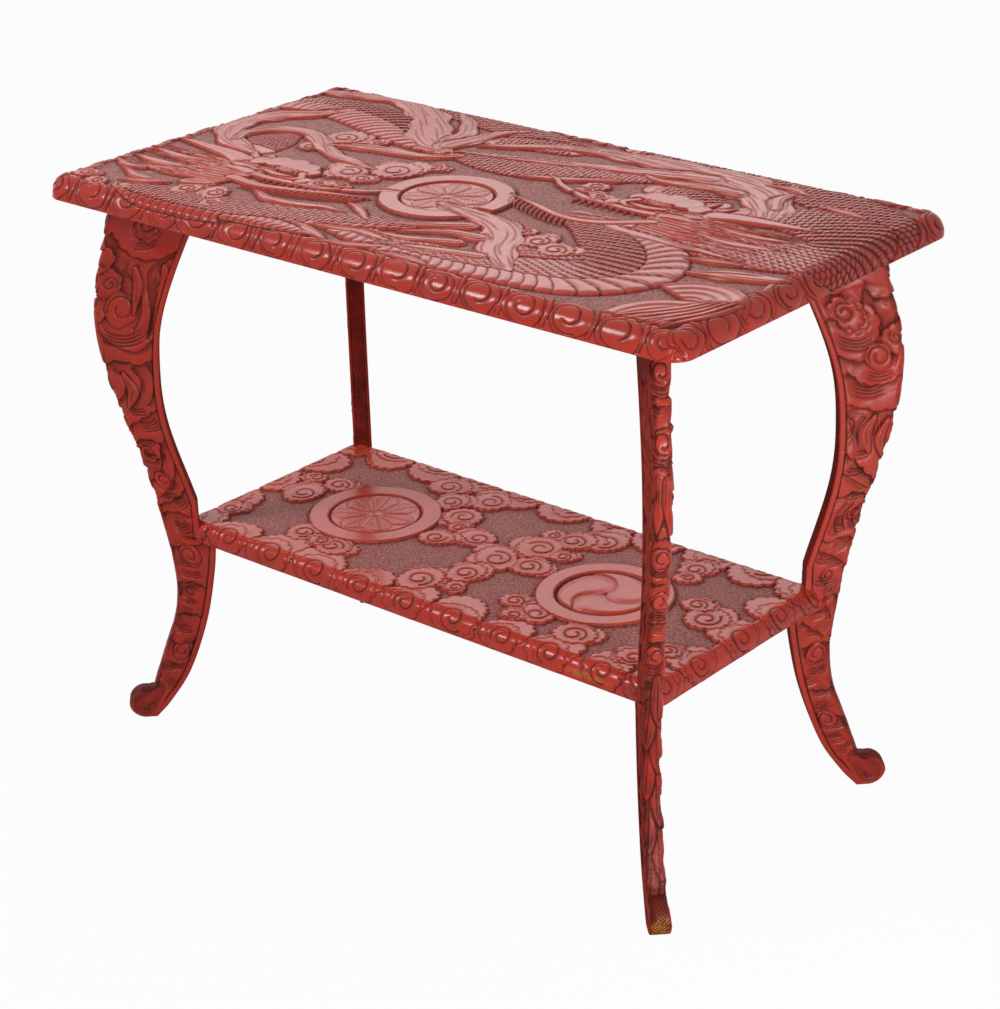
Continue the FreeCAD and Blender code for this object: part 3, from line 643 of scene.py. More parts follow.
topCarving = {
    "ground": 0.9, "edgeLevel": 4.9, "edgeSeed": 3, "cloudLevel": 4.0,
    "ring": (-21, -37, 78, 54, 4.9),  # x, y, outer and inner radius, top
    "rosette": (-21, -37, 52.5, 4.0),  # x, y, radius, top
    "heads": [(-239, -84, 165, 1, 0.0, 4.6), (185, 66, 165, -1, 0.28, 4.6)],  # x, y, size, facing, gape, top
    # shells: x, y, radius, start, end, top, pitch
    "shells": [(402, -160, 62, 0.35, 2.7, 4.6, 14.0), (420, -226, 74, 1.5, 3.2, 4.8, 14.5)],
    "bodies": [  # points with half widths, low, high, scale, belly side, belly start, plate pitch
        ([(-300, 246, 22), (-190, 230, 26), (-95, 212, 26), (-20, 192, 20)], 1.8, 3.8, 10.6, 0, 0, 1),
        ([(-446, 140, 24), (-400, 160, 34), (-345, 162, 40), (-285, 150, 42), (-232, 128, 36),
          (-185, 108, 26), (-140, 96, 14)], 1.6, 4.0, 10.8, -1, -0.05, 14),
        ([(-125, 165, 14), (-80, 180, 22), (-20, 190, 20)], 1.8, 3.8, 10.4, 0, 0, 1),
        ([(-120, 96, 14), (-60, 100, 32), (0, 112, 38), (60, 136, 36),
          (110, 160, 26)], 1.8, 4.1, 10.6, 1, 0.4, 14),
        ([(150, 128, 18), (190, 134, 24), (240, 120, 14)], 1.8, 3.4, 9.8, 0, 0, 1),
        ([(40, 240, 18), (160, 232, 24), (262, 220, 28), (352, 198, 36), (410, 176, 36),
          (470, 150, 28)], 1.8, 4.0, 10.8, 0, 0, 1),
        ([(290, 112, 30), (366, 128, 46), (434, 100, 50), (430, 38, 50), (356, 4, 44),
          (268, 8, 26)], 2.2, 4.4, 11.0, 0, 0, 1),
        ([(300, -128, 20), (250, -140, 34), (195, -146, 34), (150, -136, 22)], 1.8, 3.6, 10.4, 0, 0, 1),
        ([(140, -6, 20), (200, -26, 42), (258, -62, 56), (288, -114, 60), (262, -160, 54), (200, -182, 42),
          (124, -196, 34), (44, -198, 28), (-40, -186, 20)], 2.0, 4.3, 10.4, 1, 0.22, 13.5),
        ([(-350, -222, 14), (-312, -222, 28), (-246, -218, 34), (-180, -210, 36), (-116, -188, 32),
          (-56, -164, 26), (10, -140, 14)], 2.0, 4.3, 10.6, -1, 0.5, 13),
        ([(-334, 48, 10), (-336, 18, 28), (-338, -12, 34)], 1.4, 3.4, 6.6, 0, 0, 1),
        ([(-176, -236, 6), (-122, -224, 15), (-60, -224, 8)], 1.8, 4.4, 7.0, 1, -0.9, 11),
    ],
    "clouds": [  # x, y, radius, turn, hand
        (-270, 70, 31, 0.4, 1), (-285, 20, 18, 2.0, -1), (-104, 40, 18, 0.2, 1), (-132, 8, 36, 1.0, 1),
        (-180, -28, 31, 2.6, -1), (-142, -42, 18, 0.6, 1), (128, -80, 15, 0.2, 1), (160, -94, 24, 1.6, -1),
        (195, -108, 25, 0.4, 1), (-280, -186, 21, 0.8, 1), (-246, -178, 22, 2.2, -1),
        (-222, -206, 13, 1.2, 1), (-420, -212, 18, 0.5, 1), (-226, 78, 14, 1.0, -1),
        (416, -112, 16, 0.3, 1), (-392, -226, 15, 2.5, -1), (92, 92, 16, 0.6, 1),
    ],
    "ribbons": [  # flames, fins and trails: points with half widths, top
        ([(-446, 206, 9), (-380, 222, 14), (-320, 232, 18), (-275, 212, 24), (-232, 176, 26),
          (-198, 140, 30), (-168, 114, 26), (-138, 98, 8)], 4.8),
        ([(-164, 136, 13), (-172, 172, 13), (-196, 206, 11), (-226, 230, 4)], 4.7),
        ([(-152, 116, 17), (-142, 160, 14), (-132, 194, 9), (-108, 216, 3)], 4.8),
        ([(-348, 170, 3), (-372, 128, 14), (-412, 92, 20), (-424, 40, 21), (-404, 0, 20), (-360, -26, 16),
          (-312, -44, 4)], 4.8),
        ([(-378, -12, 6), (-388, 20, 10), (-362, 52, 13), (-318, 58, 13), (-280, 36, 13), (-240, 10, 12),
          (-200, 2, 10), (-158, -8, 3)], 4.9),
        ([(-264, 36, 5), (-232, 52, 12), (-196, 60, 13), (-160, 62, 11), (-132, 74, 9),
          (-108, 92, 4)], 4.9),
        ([(312, 104, 16), (290, 142, 26), (258, 176, 32), (206, 196, 34), (140, 204, 30), (80, 206, 22),
          (20, 204, 15), (-40, 188, 12), (-86, 160, 8), (-122, 136, 2)], 4.8),
        ([(180, 190, 16), (110, 172, 16), (40, 150, 12), (-20, 130, 9), (-70, 112, 2)], 4.8),
        ([(96, 122, 6), (50, 96, 8), (10, 80, 5), (-8, 72, 2)], 4.7),
        ([(236, 164, 11), (186, 160, 12), (140, 152, 8), (108, 158, 2)], 5.0),
        ([(246, 206, 3), (274, 214, 9), (302, 202, 3)], 4.9),
        ([(286, 196, 4), (284, 170, 10), (300, 140, 6)], 4.9),
        ([(334, 176, 3), (362, 178, 9), (396, 170, 3)], 4.8),
        ([(-10, -60, 6), (30, -64, 14), (78, -76, 20), (116, -104, 26), (140, -142, 22), (168, -168, 14),
          (196, -190, 4)], 4.9),
        ([(64, -100, 12), (30, -122, 11), (-6, -142, 3)], 4.8),
        ([(100, -124, 12), (56, -132, 9), (14, -160, 2)], 4.8),
        ([(92, -150, 9), (40, -172, 8), (0, -176, 2)], 4.8),
        ([(140, -172, 10), (96, -182, 10), (52, -192, 3)], 4.8),
        ([(-214, -146, 4), (-180, -158, 8), (-140, -156, 8), (-104, -146, 6), (-76, -146, 2)], 4.8),
        ([(112, -12, 4), (164, -2, 7), (204, -16, 8), (246, -18, 9), (296, -22, 7), (372, -26, 2)], 4.8),
        ([(346, -84, 4), (384, -66, 16), (432, -52, 10), (444, -46, 3)], 4.7),
        ([(318, -50, 3), (346, -40, 8), (376, -36, 3)], 4.8),
        ([(-400, -158, 3), (-352, -142, 10), (-300, -142, 4)], 4.6),
        ([(-404, -172, 3), (-356, -186, 9), (-322, -184, 4)], 4.6),
        ([(-372, -206, 3), (-346, -196, 8), (-318, -182, 4)], 4.6),
        ([(-440, -150, 3), (-410, -160, 7), (-380, -160, 3)], 4.6),
        ([(-302, -168, 12), (-280, -158, 12)], 4.8),
        ([(-90, -206, 4), (-60, -214, 8), (-30, -228, 4)], 4.8),
        ([(-30, -232, 4), (10, -222, 9), (40, -208, 3)], 4.8),
        ([(-64, -196, 6), (-20, -186, 8), (30, -192, 3)], 4.9),
        ([(46, -226, 3), (80, -220, 7), (112, -226, 3)], 4.6),
        ([(-96, -118, 3), (-70, -126, 7), (-40, -150, 3)], 4.5),
    ],
}


def drawTop():
    panel = boardPanel(topBoard)
    panel.height += topCarving["ground"]
    edgeScrolls(panel, topBoard, topCarving["edgeLevel"], topCarving["edgeSeed"])
    for body in topCarving["bodies"]:
        dragonBody(panel, *body)
    for x, y, r, turn, hand in topCarving["clouds"]:
        cloud(panel, x, y, r, topCarving["cloudLevel"], turn, hand)
    flatRing(panel, *topCarving["ring"])
    rosette(panel, *topCarving["rosette"])
    for points, top in topCarving["ribbons"]:
        ribbon(panel, points, top - 0.6, rim=3.0, hollow=0.3, flow=0.9, moat=1.1, wobble=0.22)
    for head in topCarving["heads"]:
        dragonHead(panel, *head)
    for fan in topCarving["shells"]:
        shell(panel, *fan)
    for k in range(5):  # a breaking crest at the front right corner
        crest = [(446 - 7 * k, -130 - 4 * k, 2), (440 - 9 * k, -176, 4), (426 - 12 * k, -212, 3),
                 (420 - 14 * k, -232, 1)]
        ribbon(panel, crest, topCarving["edgeLevel"], rim=1.6, hollow=0.2)
    panel.finish()
    return panel


topPanel = drawTop()
print("top drawn", topPanel.height.shape)


# materials

class Wire:  # a socket that takes part in sums
    def __init__(self, tree, socket):
        self.tree = tree
        self.socket = socket

    def node(self, kind, settings=None, inputs=None, output=0):
        made = self.tree.nodes.new(kind)
        for key, value in (settings or {}).items():
            setattr(made, key, value)
        for key, value in (inputs or {}).items():
            if isinstance(value, Wire):
                self.tree.links.new(value.socket, made.inputs[key])
            else:
                made.inputs[key].default_value = value
        return Wire(self.tree, made.outputs[output])

    def maths(self, operation, *values):
        return self.node("ShaderNodeMath", {"operation": operation}, dict(enumerate(values)))

    def __add__(self, other):
        return self.maths("ADD", self, other)

    def __radd__(self, other):
        return self.maths("ADD", other, self)

    def __sub__(self, other):
        return self.maths("SUBTRACT", self, other)

    def __rsub__(self, other):
        return self.maths("SUBTRACT", other, self)

    def __mul__(self, other):
        return self.maths("MULTIPLY", self, other)

    def clamped(self, low=0.0, high=1.0):
        span = {"Value": self, "From Min": low, "From Max": high}
        return self.node("ShaderNodeMapRange", {"clamp": True}, span)

    def blend(self, first, second):  # self is the factor
        return self.node("ShaderNodeMix", {"data_type": "RGBA"}, {"Factor": self, 6: first, 7: second}, 2)

    def into(self, shader, socket):
        self.tree.links.new(self.socket, shader.inputs[socket])


def newMaterial(name):
    material = bpy.data.materials.new(name)
    material.use_nodes = True
    tree = material.node_tree
    return material, Wire(tree, None), tree.nodes["Principled BSDF"]


def colour(*shades):  # red, green and blue as they look on screen, up to 255
    plain = [s / 255 / 12.92 if s / 255 <= 0.04045 else ((s / 255 + 0.055) / 1.055) ** 2.4 for s in shades]
    return (*plain, 1)


# cuts is the dark of the cut lines and of the painted shade in recesses; worn is also the paler painted lit
# tone of flat tops and the painted highlight on ridges
lacquer = {"heights": colour(171, 44, 30), "worn": colour(200, 78, 60), "cuts": colour(72, 16, 8),
           "ground": colour(184, 112, 104), "pits": colour(104, 50, 44), "ochre": colour(178, 112, 38),
           "cloudy": 9.0, "grime": 42.0, "fine": 120.0, "stipple": 340.0}  # the last four scale the noise


def lacquerMaterial():
    material, wire, shader = newMaterial("redLacquer")
    place = wire.node("ShaderNodeTexCoord", output=3)

    def noise(name, detail, roughness):
        settings = {"Vector": place, "Scale": lacquer[name], "Detail": detail, "Roughness": roughness}
        return wire.node("ShaderNodeTexNoise", {}, settings)

    carved = ("cut", "proud", "ground", "wear", "fadeAndPaintedLight", "dull")  # what the carving and the painted light and shade left on the meshes
    cut, proud, ground, wear, fadeAndPaintedLight, dull = (
        wire.node("ShaderNodeAttribute", {"attribute_name": name}, output=2) for name in carved)
    cloudy, fine = noise("cloudy", 4.0, 0.6), noise("fine", 3.0, 0.6)
    speck, grime = noise("stipple", 2.0, 0.7), noise("grime", 5.0, 0.65)
    # random patches, and the paler painted light of flat tops, draw the red towards the worn colour
    tint = cloudy.clamped(0.35, 0.8) * 0.4 + grime.clamped(0.4, 0.75) * 0.4 + fadeAndPaintedLight * 0.55 - 0.12
    tint = tint.clamped().blend(lacquer["heights"], lacquer["worn"])
    # darkening from grime mottling and from painted shade in recesses and cut lines, less where the tone is
    # painted lighter
    grimeAndPaintedShade = cut * 1.1 + (cloudy - 0.5) * 0.3 + (grime - 0.5) * (1.1 - fadeAndPaintedLight * 0.5)
    grimeAndPaintedShade = (grimeAndPaintedShade + (fine - 0.5) * 0.3 + (1 - fadeAndPaintedLight) * 0.1).clamped(0.1, 0.95)
    red = grimeAndPaintedShade.blend(tint, lacquer["cuts"])
    floor = speck.clamped(0.36, 0.6).blend(lacquer["pits"], lacquer["ground"])
    # painted shade on the ground next to raised forms
    floor = (cut * 0.7).blend(floor, lacquer["cuts"])
    red = ground.clamped(0.2, 0.9).blend(red, floor)
    # raised ridges lighter: rubbed wear, with painted highlight
    rubAndPaintedHighlight = (proud * cloudy.clamped(0.4, 0.75)).clamped(0.3, 1.0)
    red = (rubAndPaintedHighlight * 0.5).blend(red, lacquer["worn"])
    bare = (wear * (0.4 + fine * 1.1) * (1 - cut * 0.8)).clamped(0.35, 0.7)
    bare.blend(red, lacquer["ochre"]).into(shader, "Base Color")
    rough = 0.2 + cut * 0.55 + ground * 0.36 + dull * 0.45 + (fine - 0.5) * 0.12
    rough.into(shader, "Roughness")
    pits = speck * ground + fine * 0.12
    bump = wire.node("ShaderNodeBump", {}, {"Strength": 0.7, "Distance": 0.0012, "Height": pits})
    bump.into(shader, "Normal")
    shader.inputs["IOR"].default_value = 1.5
    shader.inputs["Specular IOR Level"].default_value = 0.22
    return material


wood = {"pale": colour(196, 156, 104), "dark": colour(150, 108, 64), "stretch": (2.0, 30.0, 30.0)}


def woodMaterial():
    material, wire, shader = newMaterial("bareWood")
    place = wire.node("ShaderNodeTexCoord", output=3)
    long = wire.node("ShaderNodeMapping", {}, {"Vector": place, "Scale": wood["stretch"]})
    settings = {"Vector": long, "Scale": 4.0, "Detail": 6.0, "Roughness": 0.65}
    grain = wire.node("ShaderNodeTexNoise", {}, settings)
    grain.clamped(0.3, 0.75).blend(wood["pale"], wood["dark"]).into(shader, "Base Color")
    (0.55 + grain * 0.2).into(shader, "Roughness")
    return material


redLacquer = lacquerMaterial()
bareWood = woodMaterial()
for name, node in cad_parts.items():
    hidden = any(word in name for word in ("tongue", "wedges", "dowel"))
    node.data.materials.clear()
    node.data.materials.append(bareWood if hidden else redLacquer)
print("materials ready")


def settle(piece, node):
    piece.data.materials.clear()
    piece.data.materials.append(redLacquer)
    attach(piece, "root")
    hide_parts(node)


edge = unrolledHalf(topBoard)[1]
seam = topBoard["width"] / 6
for name, low, high in (("front", -edge, -seam), ("centre", -seam, seam), ("rear", seam, edge)):
    settle(carvedBoard("carvedTop_" + name, topBoard, topPanel, low, high), "top_board_" + name)


# the carved shelf

shelfBoard = {**slabSize("shelf_board"), "corner": 18.0, "roundOver": 16.0, "underRound": 1.5, "depth": 3.6,
              "cells": (600, 140), "scrollPitch": 68.0, "scrollAt": 0.16, "scrollSize": 35.0, "knobs": True,
              "wear": (0.6, 268, 55)}

shelfCarving = {
    "edgeLevel": 3.5, "edgeSeed": 5, "cloudLevel": 3.4,
    "rings": [(-184, -3, 82, 57, 3.5), (177, -8, 81, 58, 3.5)],  # x, y, outer and inner radius, top
    "rosette": (-184, -3, 55.5, 3.1), "commas": (177, -8, 57, 3.3, -1.45),
    "clouds": [  # x, y, radius, turn, hand
        (-160, 116, 30, 0.4, 1), (-96, 114, 31, 2.2, -1), (-130, 84, 27, 1.0, 1), (-94, 52, 30, 4.0, -1),
        (-72, 28, 18, 0.2, 1), (-40, 20, 28, 2.6, 1), (-76, -8, 25, 0.6, -1), (-300, -6, 31, 1.8, 1),
        (-276, 36, 25, 0.3, 1), (-322, 34, 18, 3.4, -1), (-216, -92, 27, 1.2, 1), (-158, -104, 28, 0.0, 1),
        (-186, -100, 18, 2.8, -1), (-16, -104, 34, 0.9, 1), (28, -98, 18, 2.0, 1), (92, 108, 33, 1.5, 1),
        (64, 84, 30, 0.5, 1), (30, 82, 16, 2.0, -1), (36, 42, 35, 3.1, -1), (80, 42, 18, 0.8, 1),
        (66, -4, 29, 0.2, 1), (14, -8, 35, 2.4, -1), (16, -60, 29, 1.0, 1), (110, -84, 22, 0.4, 1),
        (146, -92, 28, 1.9, -1), (216, -108, 30, 0.5, 1), (126, -112, 18, 2.2, 1), (310, 14, 32, 1.0, -1),
        (282, 34, 22, 0.3, 1), (224, 110, 26, 1.1, 1), (226, 82, 16, 3.6, -1), (-336, -96, 22, 0.9, -1),
        (296, -112, 24, 2.4, 1), (322, -78, 20, 0.1, 1),
    ],
}


def drawShelf():
    panel = boardPanel(shelfBoard)
    edgeScrolls(panel, shelfBoard, shelfCarving["edgeLevel"], shelfCarving["edgeSeed"])
    for x, y, r, turn, hand in shelfCarving["clouds"]:
        cloud(panel, x, y, r, shelfCarving["cloudLevel"], turn, hand, moat=1.1)
    for ring in shelfCarving["rings"]:
        flatRing(panel, *ring)
    rosette(panel, *shelfCarving["rosette"])
    commaSwirl(panel, *shelfCarving["commas"])
    panel.finish()
    return panel


shelfPanel = drawShelf()
print("shelf drawn", shelfPanel.height.shape)
legStand = {"foot": (topBoard["length"] / 2 - 56, topBoard["width"] / 2 - 47), "shoulder": -81.0,
            "slot": 24.5, "slotLong": 70.0, "slotTall": 60.0, "slotMiddle": 250}


def cutSlots(piece):  # the shelf corners are slotted to take the legs
    shape = Matrix.Diagonal((legStand["slotLong"], legStand["slot"], legStand["slotTall"], 1))
    start = legStand["shoulder"] + legStand["slotLong"] / 2
    bm = bmesh.new()
    for sx in (-1, 1):
        for sy in (-1, 1):
            made = bmesh.ops.create_cube(bm, size=1.0)["verts"]
            away = Vector((sx, sy, 0)).normalized()
            turn = Matrix.Rotation(math.atan2(sy, sx), 4, "Z")
            foot = Vector((sx * legStand["foot"][0], sy * legStand["foot"][1], legStand["slotMiddle"]))
            at = Matrix.Translation(foot + away * start)
            bmesh.ops.transform(bm, matrix=Matrix.Scale(mm, 4) @ at @ turn @ shape, verts=made)
    mesh = bpy.data.meshes.new("slotCutter")
    bm.to_mesh(mesh)
    bm.free()
    cutter = linked("slotCutter", mesh)
    slots = piece.modifiers.new("slots", "BOOLEAN")
    slots.object = cutter
    slots.operation = "DIFFERENCE"
    slots.solver = "EXACT"
    bpy.context.view_layer.update()
    done = bpy.data.meshes.new_from_object(piece.evaluated_get(bpy.context.evaluated_depsgraph_get()))
    piece.modifiers.clear()
    bm = bmesh.new()
    bm.from_mesh(done)
    sliver = 2.5 * weld
    bmesh.ops.triangulate(bm, faces=[f for f in bm.faces if len(f.verts) > 4])
    bmesh.ops.remove_doubles(bm, verts=bm.verts, dist=sliver)
    bmesh.ops.dissolve_degenerate(bm, edges=bm.edges, dist=sliver)
    crowded = [e.link_faces for e in bm.edges if len(e.link_faces) > 2]
    extra = [f for faces in crowded for f in sorted(faces, key=lambda f: f.calc_area())[:-2]]
    bmesh.ops.delete(bm, geom=list(dict.fromkeys(extra)), context="FACES")
    print(piece.name, "slotted", closeMesh(bm, done), "edges without two faces")
    old = piece.data
    piece.data = done
    bpy.data.objects.remove(cutter)
    bpy.data.meshes.remove(mesh)
    bpy.data.meshes.remove(old)
    return piece


edge = unrolledHalf(shelfBoard)[1]
for name, low, high in (("front", -edge, 0.0), ("rear", 0.0, edge)):
    board = carvedBoard("carvedShelf_" + name, shelfBoard, shelfPanel, low, high)
    settle(cutSlots(board), "shelf_board_" + name)


# the carved legs: outline in mm, outwards from the foot point and up

legShape = {
    "height": topBoard["level"] - topBoard["thick"], "thick": 24.0, "ease": 2.5, "easeOuter": 8.0,
    "outer": [(-6, 1.0), (12.5, 0.896), (25, 0.787), (14, 0.662), (-23, 0.48), (-45.5, 0.31), (-44.5, 0.215),
              (-23, 0.12)],  # out, and up as a share of the height
    "crease": (-9, 40), "roll": (2, 20, 20), "sole": (-12, 0),
    "innerUpper": [(-123, 1.0), (-90, 0.911), (-57, 0.785), (-48, 0.68), (-53, 0.571)],
    "shoulder": [(-81, 289), (-81, 240), (-101, 240)],
    "innerLower": [(-96, 0.285), (-83, 0.192), (-59, 0.095), (-32, 0.033)],
    "stretches": (300, 258, 255), "heel": 41,  # heights that part the outer edge, and the inner one
    "rows": (290, 36, 3, 172, 22, 26),  # cells down each stretch
    "faceCells": 66, "edgeCells": 22,
    "depth": 3.0, "top": 2.9, "bead": 8.0, "margin": 4.2, "nicks": 4.2, "hatch": 4.6,
    "square": (234, 292), "seat": (236, 270),  # heights where the corners stay square, and where none is cut
}


def spaced(points, count):  # even steps along a run of points
    p = np.array(points, float)[:, :2]
    run = runAlong(p)
    at = np.linspace(0, run[-1], count + 1)
    return np.stack([np.interp(at, run, p[:, 0]), np.interp(at, run, p[:, 1])], -1)


def between(line, high, low):
    return line[(line[:, 1] <= high + 0.6) & (line[:, 1] >= low - 0.6)]


def legRails():  # matching points down the outer and the inner edge
    tall = legShape["height"]
    cx, cz, r = legShape["roll"]
    shoulder, sole, crease = (legShape[key] for key in ("shoulder", "sole", "crease"))

    def edgeLine(shares, before=(), after=()):
        points = [*before, *((u, share * tall) for u, share in shares), *after]
        return smoothLine([(u, z, 0) for u, z in points], 1.0)[:, :2]

    def rollArc(start, end):
        return [(cx + r * math.cos(a), cz + r * math.sin(a)) for a in np.radians(np.linspace(start, end, 60))]

    outer = edgeLine(legShape["outer"], after=[crease])
    upper = edgeLine(legShape["innerUpper"], after=shoulder[:1])
    lower = edgeLine(legShape["innerLower"], before=shoulder[2:], after=[sole])
    first, second, third = legShape["stretches"]
    ledge, heel = shoulder[2][1], legShape["heel"]
    parts = [  # a stretch of the outer edge, and the stretch of the inner edge that it faces
        (between(outer, tall, first), upper),
        (between(outer, first, second), shoulder[:2]),
        (between(outer, second, third), shoulder[1:]),
        (between(outer, third, crease[1]), between(lower, ledge, heel)),
        ([crease, (cx, cz + r)], between(lower, heel, 0)),
        (rollArc(90, 4), [sole, (cx, 0)] + rollArc(-90, -4)),
    ]
    rails = [[], []]
    for pair, count in zip(parts, legShape["rows"]):
        for rail, points in zip(rails, pair):
            rail.extend(spaced(points, count)[:-1])
    for rail, points in zip(rails, parts[-1]):
        rail.append(points[-1])
    return np.array(rails[0]), np.array(rails[1])


def gouges(panel, x, y, r, count, pitch, span, facing, depth=1.7):  # a crescent of curved gouge cuts
    win, dx, dy = around(panel, x, y, r + pitch * count + 3)
    rho = np.hypot(dx, dy)
    away = np.abs((np.arctan2(dy, dx) - facing + math.pi) % (2 * math.pi) - math.pi)
    for k in range(count):
        taper = softStep(1.5 * (1 - away / (span * (1 - 0.07 * k))))
        line = taper * bell((rho - r - pitch * k) / (0.27 * pitch))
        panel.height[win] -= depth * line
        panel.ink[win] = np.maximum(panel.ink[win], 0.58 * line)
    nearMiddle = bell((rho - r - pitch * (count - 1) / 2) / (0.6 * pitch * count))
    broad = softStep(1.4 * (1 - away / span)) * nearMiddle
    panel.height[win] -= 0.7 * broad
    # a little painted shade in the broad hollow
    panel.ink[win] = np.maximum(panel.ink[win], 0.12 * broad)


